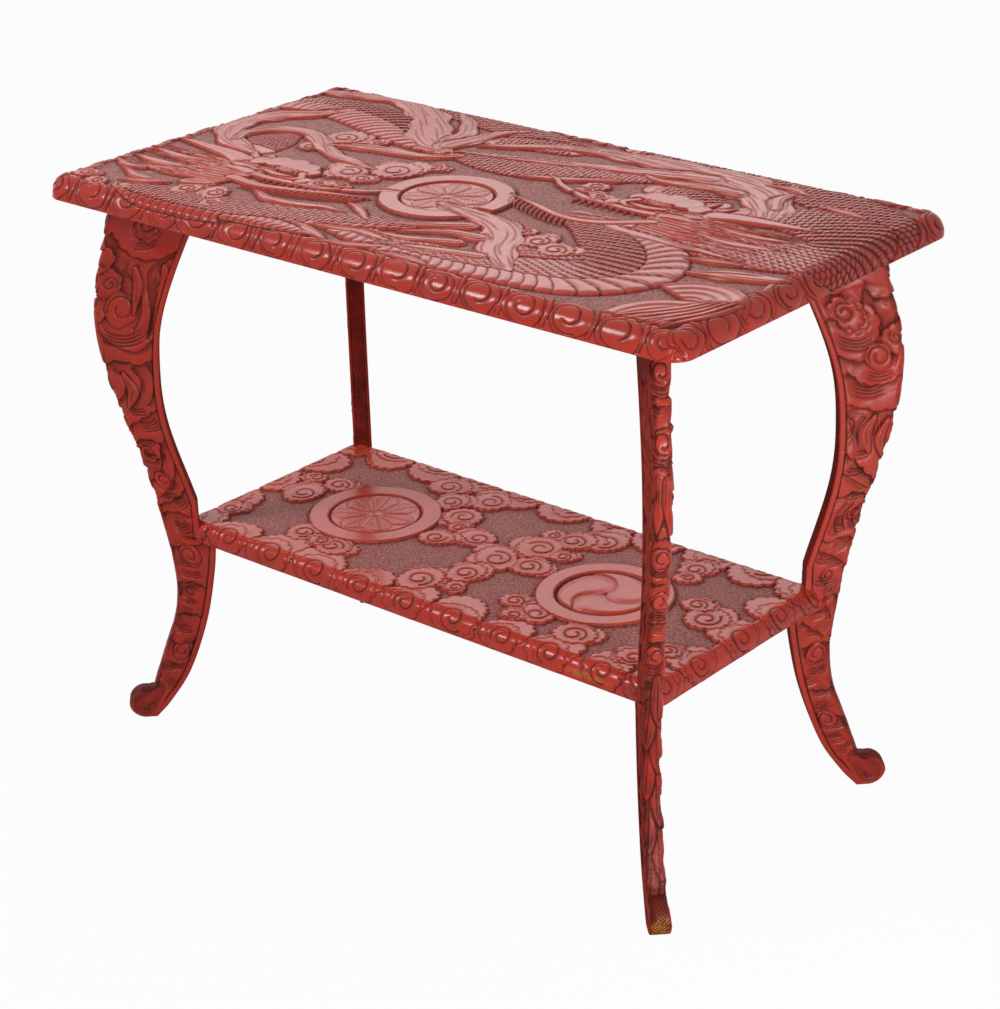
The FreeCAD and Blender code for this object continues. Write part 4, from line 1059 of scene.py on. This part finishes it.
# cuts in the legs, in mm across from the outer edge and down it
# lines: points, sunk side, lobe length; fans: x, y, radius, count, pitch, span, facing
# curls: x, y, radius, hand, turn; clouds: x, y, radius, turn, hand; leaves: points with half widths
down = math.pi / 2
legCuts = {
    "flowing": {
        "lines": [
            ([(12, 40), (26, 62), (48, 78), (76, 80), (96, 66)], 1, 17),
            ([(-4, 60), (12, 66), (18, 80), (8, 92), (-4, 94)], -1, 12),
            ([(-4, 90), (16, 92), (30, 104), (26, 122), (8, 126), (-4, 120)], -1, 14),
            ([(-4, 128), (12, 130), (16, 146), (2, 156)], -1, 14),
            ([(40, 80), (36, 94), (48, 110), (57, 130), (56, 154), (44, 174)], 1, 0),
            ([(74, 82), (62, 98), (64, 120), (68, 150), (60, 180)], -1, 0),
            ([(92, 84), (78, 94), (86, 108), (76, 122), (82, 140), (74, 156)], 1, 15),
            ([(72, 104), (77, 130), (71, 160), (60, 186)], 1, 0),
            ([(4, 152), (8, 172), (24, 190), (46, 196), (68, 182)], 1, 0),
            ([(-4, 208), (20, 204), (45, 211), (68, 200)], 1, 20),
            ([(8, 216), (22, 230), (14, 250), (-4, 264)], -1, 0),
            ([(30, 214), (39, 233), (30, 254), (10, 274)], -1, 0),
            ([(50, 212), (55, 232), (45, 256), (34, 266)], -1, 0),
            ([(-4, 294), (20, 282), (44, 268), (58, 250)], 1, 15),
            ([(-4, 314), (18, 308), (36, 310), (52, 298)], 1, 16),
            ([(-4, 334), (14, 340), (26, 330), (30, 312)], 1, 12),
            ([(-4, 374), (16, 358), (26, 340), (30, 324)], 1, 0),
            ([(4, 394), (24, 376), (38, 352), (43, 328)], 1, 0),
            ([(-4, 400), (16, 394), (34, 382), (48, 364)], 1, 16),
            ([(-4, 414), (18, 406), (42, 408)], 1, 15),
            ([(-4, 452), (16, 457), (36, 450), (50, 440)], 1, 17),
            ([(-4, 508), (20, 504), (44, 510)], 1, 14), ([(-4, 552), (18, 548), (42, 552)], 1, 14),
            ([(-4, 584), (20, 593), (42, 582)], 1, 14),
        ],
        "fans": [
            (52, 44, 14, 4, 3.6, 1.2, down), (34, 146, 30, 4, 4.4, 1.25, down + 0.1),
            (34, 140, 16, 2, 3.6, 1.0, 2.6), (24, 258, 12, 3, 3.6, 0.9, down),
            (26, 272, 16, 4, 3.6, 1.0, down - 0.3), (26, 318, 14, 3, 3.4, 0.8, down + 0.6),
            (22, 372, 13, 3, 3.4, 0.9, down), (22, 408, 14, 4, 3.6, 1.0, down - 0.35),
            (22, 476, 17, 3, 3.4, 0.9, down), (18, 522, 9, 3, 3.0, 1.0, down),
            (18, 558, 11, 4, 3.2, 0.9, down), (22, 612, 14, 3, 3.2, 0.9, down),
        ],
        "curls": [(18, 110, 9, -1, 0.5), (18, 520, 7, -1, 0.0), (14, 328, 8, 1, 3.0)],
        "clouds": [
            (52, 40, 19, 1.0, 1), (34, 142, 22, 2.4, 1), (24, 468, 15, 0.4, 1), (22, 604, 13, 1.0, -1),
            (20, 366, 12, 2.0, -1),
        ],
        "leaves": [
            [(80, 92, 3), (84, 120, 7), (70, 168, 2)], [(46, 92, 3), (52, 118, 6), (48, 150, 2)],
            [(22, 224, 3), (26, 246, 7), (14, 266, 2)],
        ],
    },
    "banked": {
        "lines": [
            ([(-4, 60), (14, 70), (28, 68), (34, 52)], 1, 14),
            ([(34, 48), (44, 74), (68, 90), (100, 101)], 1, 19),
            ([(38, 76), (27, 96), (33, 122), (52, 146), (76, 140), (92, 147)], 1, 18),
            ([(-4, 102), (12, 106), (24, 118), (20, 134), (6, 139)], -1, 11),
            ([(-2, 142), (5, 160), (20, 173), (46, 173), (66, 158)], 1, 14),
            ([(-4, 200), (22, 205), (48, 200), (76, 194)], 1, 20),
            ([(34, 212), (42, 228), (36, 248), (22, 258)], -1, 0),
            ([(64, 206), (57, 230), (62, 252)], 1, 14),
            ([(-4, 294), (14, 282), (34, 264), (60, 247)], 1, 16), ([(6, 304), (28, 290), (52, 274)], 1, 0),
            ([(-4, 314), (20, 304), (40, 307), (54, 298)], 1, 17), ([(4, 322), (14, 336), (6, 354)], -1, 0),
            ([(15, 318), (25, 334), (17, 356)], -1, 0), ([(27, 316), (35, 334), (27, 358)], 1, 0),
            ([(-4, 368), (16, 360), (36, 363), (48, 352)], 1, 15), ([(0, 404), (20, 388), (44, 374)], 1, 0),
            ([(-4, 440), (18, 433), (38, 436)], 1, 14), ([(6, 472), (14, 454), (32, 442)], 1, 0),
            ([(8, 490), (26, 476), (42, 460)], 1, 14), ([(-4, 500), (16, 496), (40, 498)], 1, 13),
            ([(-4, 556), (14, 561), (36, 553)], 1, 12), ([(-4, 602), (18, 598), (38, 589)], 1, 13),
        ],
        "fans": [
            (70, 50, 18, 5, 3.6, 0.9, down + 0.1), (56, 98, 26, 4, 3.8, 1.1, down),
            (30, 146, 18, 3, 3.6, 1.0, down), (40, 158, 22, 4, 3.8, 1.0, down),
            (36, 228, 13, 5, 3.4, 1.0, math.pi), (30, 244, 12, 3, 3.6, 0.8, down),
            (30, 264, 13, 3, 3.4, 0.9, down), (22, 336, 12, 4, 3.2, 1.0, down + 1.0),
            (26, 370, 13, 4, 3.4, 0.9, down - 0.3), (26, 398, 13, 3, 3.6, 0.9, down - 0.2),
            (16, 442, 11, 3, 3.2, 0.9, down), (18, 518, 15, 3, 3.2, 1.0, down),
            (22, 566, 13, 4, 3.2, 0.9, down), (24, 612, 14, 3, 3.2, 0.8, down),
        ],
        "curls": [(12, 334, 9, 1, 0.5), (10, 120, 7, 1, 1.0), (24, 408, 8, 1, 1.0)],
        "clouds": [
            (60, 92, 24, 2.2, 1), (30, 142, 17, 1.0, -1), (58, 228, 13, 0.0, -1), (18, 512, 14, 0.0, 1),
            (24, 604, 13, 2.0, -1), (28, 446, 12, 1.0, 1),
        ],
        "leaves": [[(26, 214, 3), (32, 234, 8), (22, 256, 2)], [(10, 218, 3), (14, 240, 6), (6, 262, 2)]],
    },
    "narrow": {
        "lines": [
            ([(-4, 24), (12, 28), (28, 20)], 1, 0), ([(-4, 42), (8, 48), (28, 38)], 1, 0),
            ([(-4, 62), (14, 66), (28, 58)], 1, 16), ([(-4, 136), (12, 146), (28, 138)], 1, 14),
            ([(-4, 204), (12, 208), (28, 198)], 1, 16), ([(-4, 262), (12, 268), (28, 260)], 1, 15),
            ([(-4, 318), (12, 324), (28, 316)], 1, 16), ([(-4, 344), (12, 350), (28, 342)], 1, 16),
            ([(-4, 398), (12, 404), (28, 396)], 1, 16),
        ],
        "fans": [
            (12, 104, 19, 4, 3.8, 1.2, down), (12, 40, 12, 3, 3.6, 0.9, down),
            (12, 236, 13, 4, 3.6, 1.1, down), (12, 296, 14, 4, 3.6, 1.0, down),
            (12, 376, 10, 4, 3.6, 1.0, down),
        ],
        "clouds": [
            (12, 32, 14, 1.0, 1), (12, 104, 15, 0.6, 1), (12, 236, 14, 2.4, -1), (12, 294, 13, 0.4, 1),
            (12, 372, 14, 2.8, -1),
        ],
        "leaves": [
            [(5, 580, 2), (7, 640, 3.4), (5, 694, 1)], [(12, 580, 2), (13, 646, 3.8), (12, 696, 1)],
            [(18, 590, 2), (19, 662, 3.4), (18, 694, 1)], [(8, 140, 11), (7, 172, 9), (5, 206, 1)],
            [(19, 146, 8), (19, 172, 8), (20, 210, 1)],
        ],
    },
}


legDrawing = {"step": 0.6, "spare": 6, "broad": 128, "narrow": 28,  # mm, the last two are widths
              "ground": 2.3, "waves": 0.45, "curlTop": 2.8, "curlsBelow": 120}


def drawLegSide(rails, name):
    narrow = name == "narrow"
    cuts = legCuts[name]
    long = np.hypot(*np.diff(rails[0], axis=0).T).sum()
    spare = legDrawing["spare"]
    wide = legDrawing["narrow" if narrow else "broad"]
    panel = CarvedPanel((-spare, -spare), (wide + spare, long + spare), legDrawing["step"])
    gx, gy = np.meshgrid(panel.x, panel.y)
    waves = legDrawing["waves"] * np.sin(gx / 9 + 2 * np.sin(gy / 23))
    waves = waves * np.sin(gy / 13 + 1.3 * np.sin(gx / 17))
    panel.height += legDrawing["ground"] + waves
    for line in cuts["lines"]:
        stepLine(panel, *line)
    for fan in cuts["fans"]:
        gouges(panel, *fan)
    for curl in cuts.get("curls", ()):
        cutCurl(panel, *curl)
    rng = np.random.default_rng(len(cuts["lines"]))
    if narrow:
        for y in np.arange(14, 420, 11):
            x, r = rng.uniform(4, 20), rng.uniform(7, 12)
            span, facing = rng.uniform(0.7, 1.1), down + rng.uniform(-0.9, 0.9)
            gouges(panel, x, y, r, 3, 3.4, span, facing, depth=1.3)
    else:  # crescents low down, where the leg is slim
        for level in np.arange(300, long - 60, 21):
            x, y = rng.uniform(14, 28), level + rng.uniform(-5, 5)
            r, span = rng.uniform(8, 13), rng.uniform(0.8, 1.2)
            gouges(panel, x, y, r, 4, 3.4, span, down + rng.uniform(-0.8, 0.8), depth=1.2)
    squash = (1.15, 0.95) if narrow else (1.1, 1.0)
    for x, y, r, turn, hand in cuts["clouds"]:
        if narrow or y > legDrawing["curlsBelow"]:
            edgeCurl(panel, x, y, r, legDrawing["curlTop"], turn, hand, squash, turns=1.3)
        else:
            cloud(panel, x, y, r, legShape["top"], turn, hand, moat=1.1, lobe=15.0)
    leaves = list(cuts["leaves"])
    for k in range(8 if narrow else 0):  # hanging leaves, the upper over the lower
        y, lean = 622 - 30 * k, 1 if k % 2 else -1
        spine = ((4, -8, 6), (5, 20, 9), (6, 40, 7.5), (7, 53, 3))
        leaves.append([(12 + out * lean, y + fall, w) for out, fall, w in spine])
    for leaf in leaves:
        ribbon(panel, leaf, legShape["top"], rim=2.0, hollow=0.2, flow=0.9, moat=1.4, vein=3.6)
    panel.height -= 1.4 * boxBlur(panel.ink, 2.2 / panel.step)
    panel.finish()
    # painted shade in broad hollows, and a slight darkening all over
    hollow = boxBlur(panel.height, 9 / panel.step) - panel.height
    share = 0.85 if narrow else 0.6
    panel.cut = np.clip(share * panel.cut + np.clip(hollow / 8, 0, 0.2) + 0.08, 0, 1)
    return panel


legColumns = 2 * (legShape["faceCells"] + legShape["edgeCells"])


class LegSkin:  # each place on a leg before the carving: across its board, through it, and down both edges
    def __init__(self, rails, co):
        outer, inner = rails
        face, edge = legShape["faceCells"], legShape["edgeCells"]
        c = np.rint((co[:, 0] + 1) / 2 * legColumns).astype(int)
        r = np.rint((1 - co[:, 1]) / 2 * (len(outer) - 1)).astype(int)
        half = legShape["thick"] / 2
        wide = np.hypot(*(inner - outer).T)[r]
        self.outer = outer[r]
        self.chord = ((inner - outer) / np.hypot(*(inner - outer).T)[:, None])[r]
        stops = np.array([0, edge, edge + face, 2 * edge + face, legColumns])
        q = wide * np.interp(c, stops, (0, 0, 1, 1, 0))
        e = half * np.interp(c, stops, (-1, 1, 1, -1, -1))
        ease = np.where(q < 0.5 * wide, legShape["easeOuter"], legShape["ease"])
        level, low, high = self.outer[:, 1], *legShape["square"]
        seated = softStep((level - low) / 3) * softStep((high - level) / 3) * (q > 0.5 * wide)
        ease = np.minimum(ease * (1 - seated) + 0.4 * seated, 0.45 * wide)
        cq, ce = np.clip(q, ease, wide - ease), np.clip(e, ease - half, half - ease)
        nq, ne = q - cq, e - ce
        size = np.maximum(np.hypot(nq, ne), 1e-6)
        self.wayAcross, self.wayThrough = nq / size, ne / size  # outward direction
        self.across, self.through = cq + ease * self.wayAcross, ce + ease * self.wayThrough
        self.wide, self.half = wide, half
        self.down, self.back = runAlong(outer)[r], runAlong(inner)[r]
        self.out, self.up = self.place(self.across)
        self.measureToe()

    def place(self, across):  # outwards from the foot point, and up
        return self.outer[:, 0] + self.chord[:, 0] * across, self.outer[:, 1] + self.chord[:, 1] * across

    def measureToe(self):  # where the rolled toe is, and its crossed hatching
        cx, cz, radius = legShape["roll"]
        self.dx, self.dz = self.out - cx, self.up - cz
        self.fromRoll = np.hypot(self.dx, self.dz)
        self.arc = radius * (math.pi / 2 - np.arctan2(self.dz, self.dx))
        onRim = softStep((self.fromRoll - radius + 5) / 2)
        self.onToe = onRim * softStep((self.dx + 12) / 3) * (self.up < 44)
        e, arc, pitch = self.through, self.arc, legShape["hatch"]
        weave = np.where(np.floor((arc + 0.6 * np.abs(e)) / 14) % 2 == 0, arc + e, arc - e)
        self.hatch = bell(((weave / pitch) % 1 - 0.5) * pitch)


def broadSides(skin, sides):  # banks of cloud, a plain bead along the inner edge, a hollow in the toe
    dx, dz, bead = skin.dx, skin.dz, legShape["bead"]
    height, cut, proud = np.zeros((3, len(dx)))
    for sign, panel in zip((1, -1), sides):
        here = skin.wayThrough * sign > 0
        height = np.where(here, panel.sample(panel.height, skin.across, skin.down), height)
        cut = np.where(here, panel.sample(panel.cut, skin.across, skin.down), cut)
        proud = np.where(here, panel.sample(panel.proud, skin.across, skin.down), proud)
    t = np.clip((dx * -0.6 + dz * 0.8) / 24, 0, 1)  # the hollow is an oval that runs up the leg
    oval = legShape["roll"][2] - 6 - 3 * t - np.hypot(dx + 14.4 * t, dz - 19.2 * t)
    rim = softStep((oval + 7) / 3) * (skin.up < 75)
    sunk = softStep(oval / 2.5) * rim
    lane = (dx * 0.8 + dz * 0.6 + 0.02 * skin.fromRoll ** 2) / 3.6
    streak = bell((lane % 1 - 0.5) * 3.6 / 0.9) * softStep((oval - 1.5) / 2)
    streak = streak * softStep(np.sin(skin.up / 5 + skin.out / 9) + 0.6)
    lip = 0.5 * bell(oval / 1.2)
    toInner = skin.wide - skin.across
    plain = np.maximum(softStep((bead - toInner) / 1.5 + 0.5), rim)
    line = bell((toInner - bead) / 0.9) * (1 - rim)
    height = height + (legShape["top"] - height) * plain - 1.5 * line
    height = height - sunk * (1.2 + 0.8 * streak) - lip * rim
    cut = cut * (1 - plain) + 0.9 * line + rim * (0.3 * sunk + 0.5 * sunk * streak + lip)
    return height, cut, proud


def outerEdge(skin, panel):  # narrow banks of cloud, and the hatching on the toe
    height = panel.sample(panel.height, skin.through + skin.half, skin.down)
    cut = panel.sample(panel.cut, skin.through + skin.half, skin.down)
    cut = cut + 0.2 * softStep((340 - skin.up) / 60)
    height = height + (legShape["top"] - skin.hatch - height) * skin.onToe
    cut = cut * (1 - skin.onToe) + (0.55 + 0.45 * skin.hatch) * skin.onToe
    return height, cut


def innerEdge(skin):  # blocks of slanting cuts between plain margins
    e, edge, pitch, top = skin.through, legShape["margin"], legShape["nicks"], legShape["top"]
    slant = skin.back * 0.9 + np.where(np.floor(skin.back / 13) % 2 == 0, e, -e)
    nick = bell(((slant / pitch) % 1 - 0.5) * pitch) * softStep(skin.half - edge - np.abs(e))
    height = top - 0.9 * nick - 0.9 * bell((np.abs(e) - skin.half + edge) / 0.7)
    height = height + (top - skin.hatch - height) * skin.onToe
    margin = bell((np.abs(e) - skin.half + edge) / 0.8)
    cut = np.maximum(np.maximum(nick, 0.8 * margin), 0.45)
    return height, np.where(skin.onToe > 0.5, 0.4 + 0.6 * skin.hatch, cut)


def carvedLeg(name, sx, sy, rails, sides, edgePanel, worn):
    mesh, co = gridMesh(name, legColumns, len(rails[0]) - 1)
    skin = LegSkin(rails, co)
    leftOfFront = (sx > 0 > sy) & (skin.wayThrough < 0)  # the front leg's left side is painted dark, as shade, and made dull
    onOuter, onInner = np.maximum(-skin.wayAcross, 0), np.maximum(skin.wayAcross, 0)
    onSide = np.abs(skin.wayThrough)
    sideHeight, sideCut, proud = broadSides(skin, sides)
    sideCut = np.where(leftOfFront, np.maximum(sideCut, 0.42), sideCut)
    outerHeight, outerCut = outerEdge(skin, edgePanel)
    innerHeight, innerCut = innerEdge(skin)
    deep = legShape["depth"]
    relief = onSide * (sideHeight - deep) + onOuter * (outerHeight - deep) + onInner * (innerHeight - deep)
    cut = onSide * sideCut + onOuter * outerCut + onInner * innerCut
    z, low, high = skin.up, *legShape["seat"]
    relief = np.minimum(relief, 0) * softStep(z / 3) * softStep((skin.wide - 4) / 12)
    inSlot = softStep((z - low) / 3) * softStep((high - z) / 3)
    relief = relief * (1 - inSlot * softStep((skin.across - 0.45 * skin.wide) / 4))
    out, up = skin.place(skin.across + skin.wayAcross * relief)
    through = skin.through + skin.wayThrough * relief
    diagonal = math.sqrt(0.5)
    x = sx * (legStand["foot"][0] + out * diagonal) - sy * through * diagonal
    y = sy * (legStand["foot"][1] + out * diagonal) + sx * through * diagonal
    placeMesh(mesh, np.stack([x, y, up], -1))
    putAttribute(mesh, "cut", np.clip(cut, 0, 1))
    putAttribute(mesh, "proud", np.clip(proud * onSide, 0, 1))
    dusty = worn * onOuter * softStep((up - 42) / 8) * softStep((110 - up) / 30)
    putAttribute(mesh, "ground", 0.5 * dusty)  # dry lacquer above the front toe
    putAttribute(mesh, "dull", np.clip(np.where(leftOfFront, 1.0, 0.12) * onSide + onInner, 0, 1))
    rubbed = worn * skin.onToe * softStep((skin.arc - 6) / 18) * softStep((60 - skin.arc) / 10)
    putAttribute(mesh, "wear", rubbed * np.maximum(onOuter, onInner))
    # the rear right leg is painted lighter, as if lit more, and every leg gets darker towards the floor
    putAttribute(mesh, "fadeAndPaintedLight", (0.45 if sx > 0 and sy > 0 else 0.1) - 0.6 * softStep((300 - up) / 300))
    bm = bmesh.new()
    bm.from_mesh(mesh)
    bmesh.ops.remove_doubles(bm, verts=bm.verts, dist=weld)
    closeMesh(bm, mesh)
    return finishPiece(name, mesh, [len(p.vertices) <= 4 for p in mesh.polygons])


rails = legRails()
sides = [drawLegSide(rails, name) for name in ("flowing", "banked")]
edgeCuts = drawLegSide(rails, "narrow")
print("legs drawn", edgeCuts.height.shape)
for name, sx, sy, worn in (("front_left", -1, -1, 0), ("front_right", 1, -1, 1.05), ("rear_right", 1, 1, 0),
                           ("rear_left", -1, 1, 0)):
    settle(carvedLeg("carvedLeg_" + name, sx, sy, rails, sides, edgeCuts, worn), "leg_" + name)


# studio

view = {"azimuth": 40.366, "elevation": 24.141, "roll": -1.278, "focal": 2632.0, "away": 3109.0,
        "shift": 11.31, "lift": 324.74, "frameHeight": 1009, "sensor": 36}  # focal and frame in pixels


def addCamera():
    a, e, r = (math.radians(view[k]) for k in ("azimuth", "elevation", "roll"))
    back = Vector((math.sin(a) * math.cos(e), -math.cos(a) * math.cos(e), math.sin(e)))
    level = Vector((math.cos(a), math.sin(a), 0))
    upright = back.cross(level)
    right = math.cos(r) * level + math.sin(r) * upright
    up = -math.sin(r) * level + math.cos(r) * upright
    at = (back * view["away"] + level * view["shift"] + Vector((0, 0, view["lift"]))) * mm
    camera = bpy.data.cameras.new("camera")
    camera.sensor_fit = "VERTICAL"
    camera.sensor_height = view["sensor"]
    camera.lens = view["focal"] / view["frameHeight"] * view["sensor"]
    holder = linked("camera", camera)
    holder.matrix_world = Matrix.Translation(at) @ Matrix((right, up, back)).transposed().to_4x4()
    bpy.context.scene.camera = holder


studio = {
    "world": 0.29, "floor": 0.45, "floorGlow": 0.96, "floorSize": 9.0,
    "lamps": [  # name, place, target, size, power
        ("keyLight", (-1.7, -2.1, 2.5), (0, 0, 0.4), (0.7, 0.7), 50),
        ("sideLight", (1.2, -0.6, 0.4), (0.1, 0, 0.4), (0.3, 0.3), 7),
        ("frontLight", (1.0, -1.9, 1.9), (0, 0, 0.4), (0.5, 0.5), 12),
        ("sheenPanel", (-1.9, 2.2, 2.1), (0, 0, 0.7), (2.6, 1.0), 17),
    ],
}
white = (1, 1, 1, 1)


def addLamp(name, at, target, size, power):
    lamp = bpy.data.lights.new(name, "AREA")
    lamp.shape = "RECTANGLE"
    lamp.size, lamp.size_y = size
    lamp.energy = power
    facing = (Vector(at) - Vector(target)).to_track_quat("Z", "Y").to_matrix().to_4x4()
    holder = linked(name, lamp)
    holder.matrix_world = Matrix.Translation(at) @ facing
    holder.visible_camera = False


def seenPlainly(tree):  # camera, glossy and transmission rays, which see a white background
    path = tree.nodes.new("ShaderNodeLightPath")
    seen = Wire(tree, path.outputs["Is Camera Ray"])
    for ray in ("Is Glossy Ray", "Is Transmission Ray"):
        seen = seen.maths("MAXIMUM", seen, Wire(tree, path.outputs[ray]))
    return seen


def addWorld():
    world = bpy.data.worlds.new("studio")
    bpy.context.scene.world = world
    world.use_nodes = True
    tree = world.node_tree
    wire = Wire(tree, None)
    soft = tree.nodes["Background"]
    soft.inputs["Color"].default_value = white
    soft.inputs["Strength"].default_value = studio["world"]
    plain = wire.node("ShaderNodeBackground", {}, {"Color": white, "Strength": 1.0})
    rays = {0: seenPlainly(tree), 1: Wire(tree, soft.outputs[0]), 2: plain}
    wire.node("ShaderNodeMixShader", {}, rays).into(tree.nodes["World Output"], 0)


def addFloor():
    bm = bmesh.new()
    bmesh.ops.create_grid(bm, x_segments=1, y_segments=1, size=studio["floorSize"])
    mesh = bpy.data.meshes.new("floor")
    bm.to_mesh(mesh)
    bm.free()
    floor = linked("floor", mesh)
    material, wire, shader = newMaterial("paleFloor")
    shader.inputs["Base Color"].default_value = (studio["floor"],) * 3 + (1,)
    shader.inputs["Roughness"].default_value = 0.9
    glow = wire.node("ShaderNodeEmission", {}, {"Color": white, "Strength": 1.0})
    seen = seenPlainly(wire.tree) * studio["floorGlow"]
    rays = {0: seen, 1: Wire(wire.tree, shader.outputs[0]), 2: glow}
    wire.node("ShaderNodeMixShader", {}, rays).into(wire.tree.nodes["Material Output"], 0)
    mesh.materials.append(material)


addCamera()
addWorld()
addFloor()
for lamp in studio["lamps"]:
    addLamp(*lamp)
bpy.context.scene.view_settings.view_transform = "Standard"
print("studio ready")
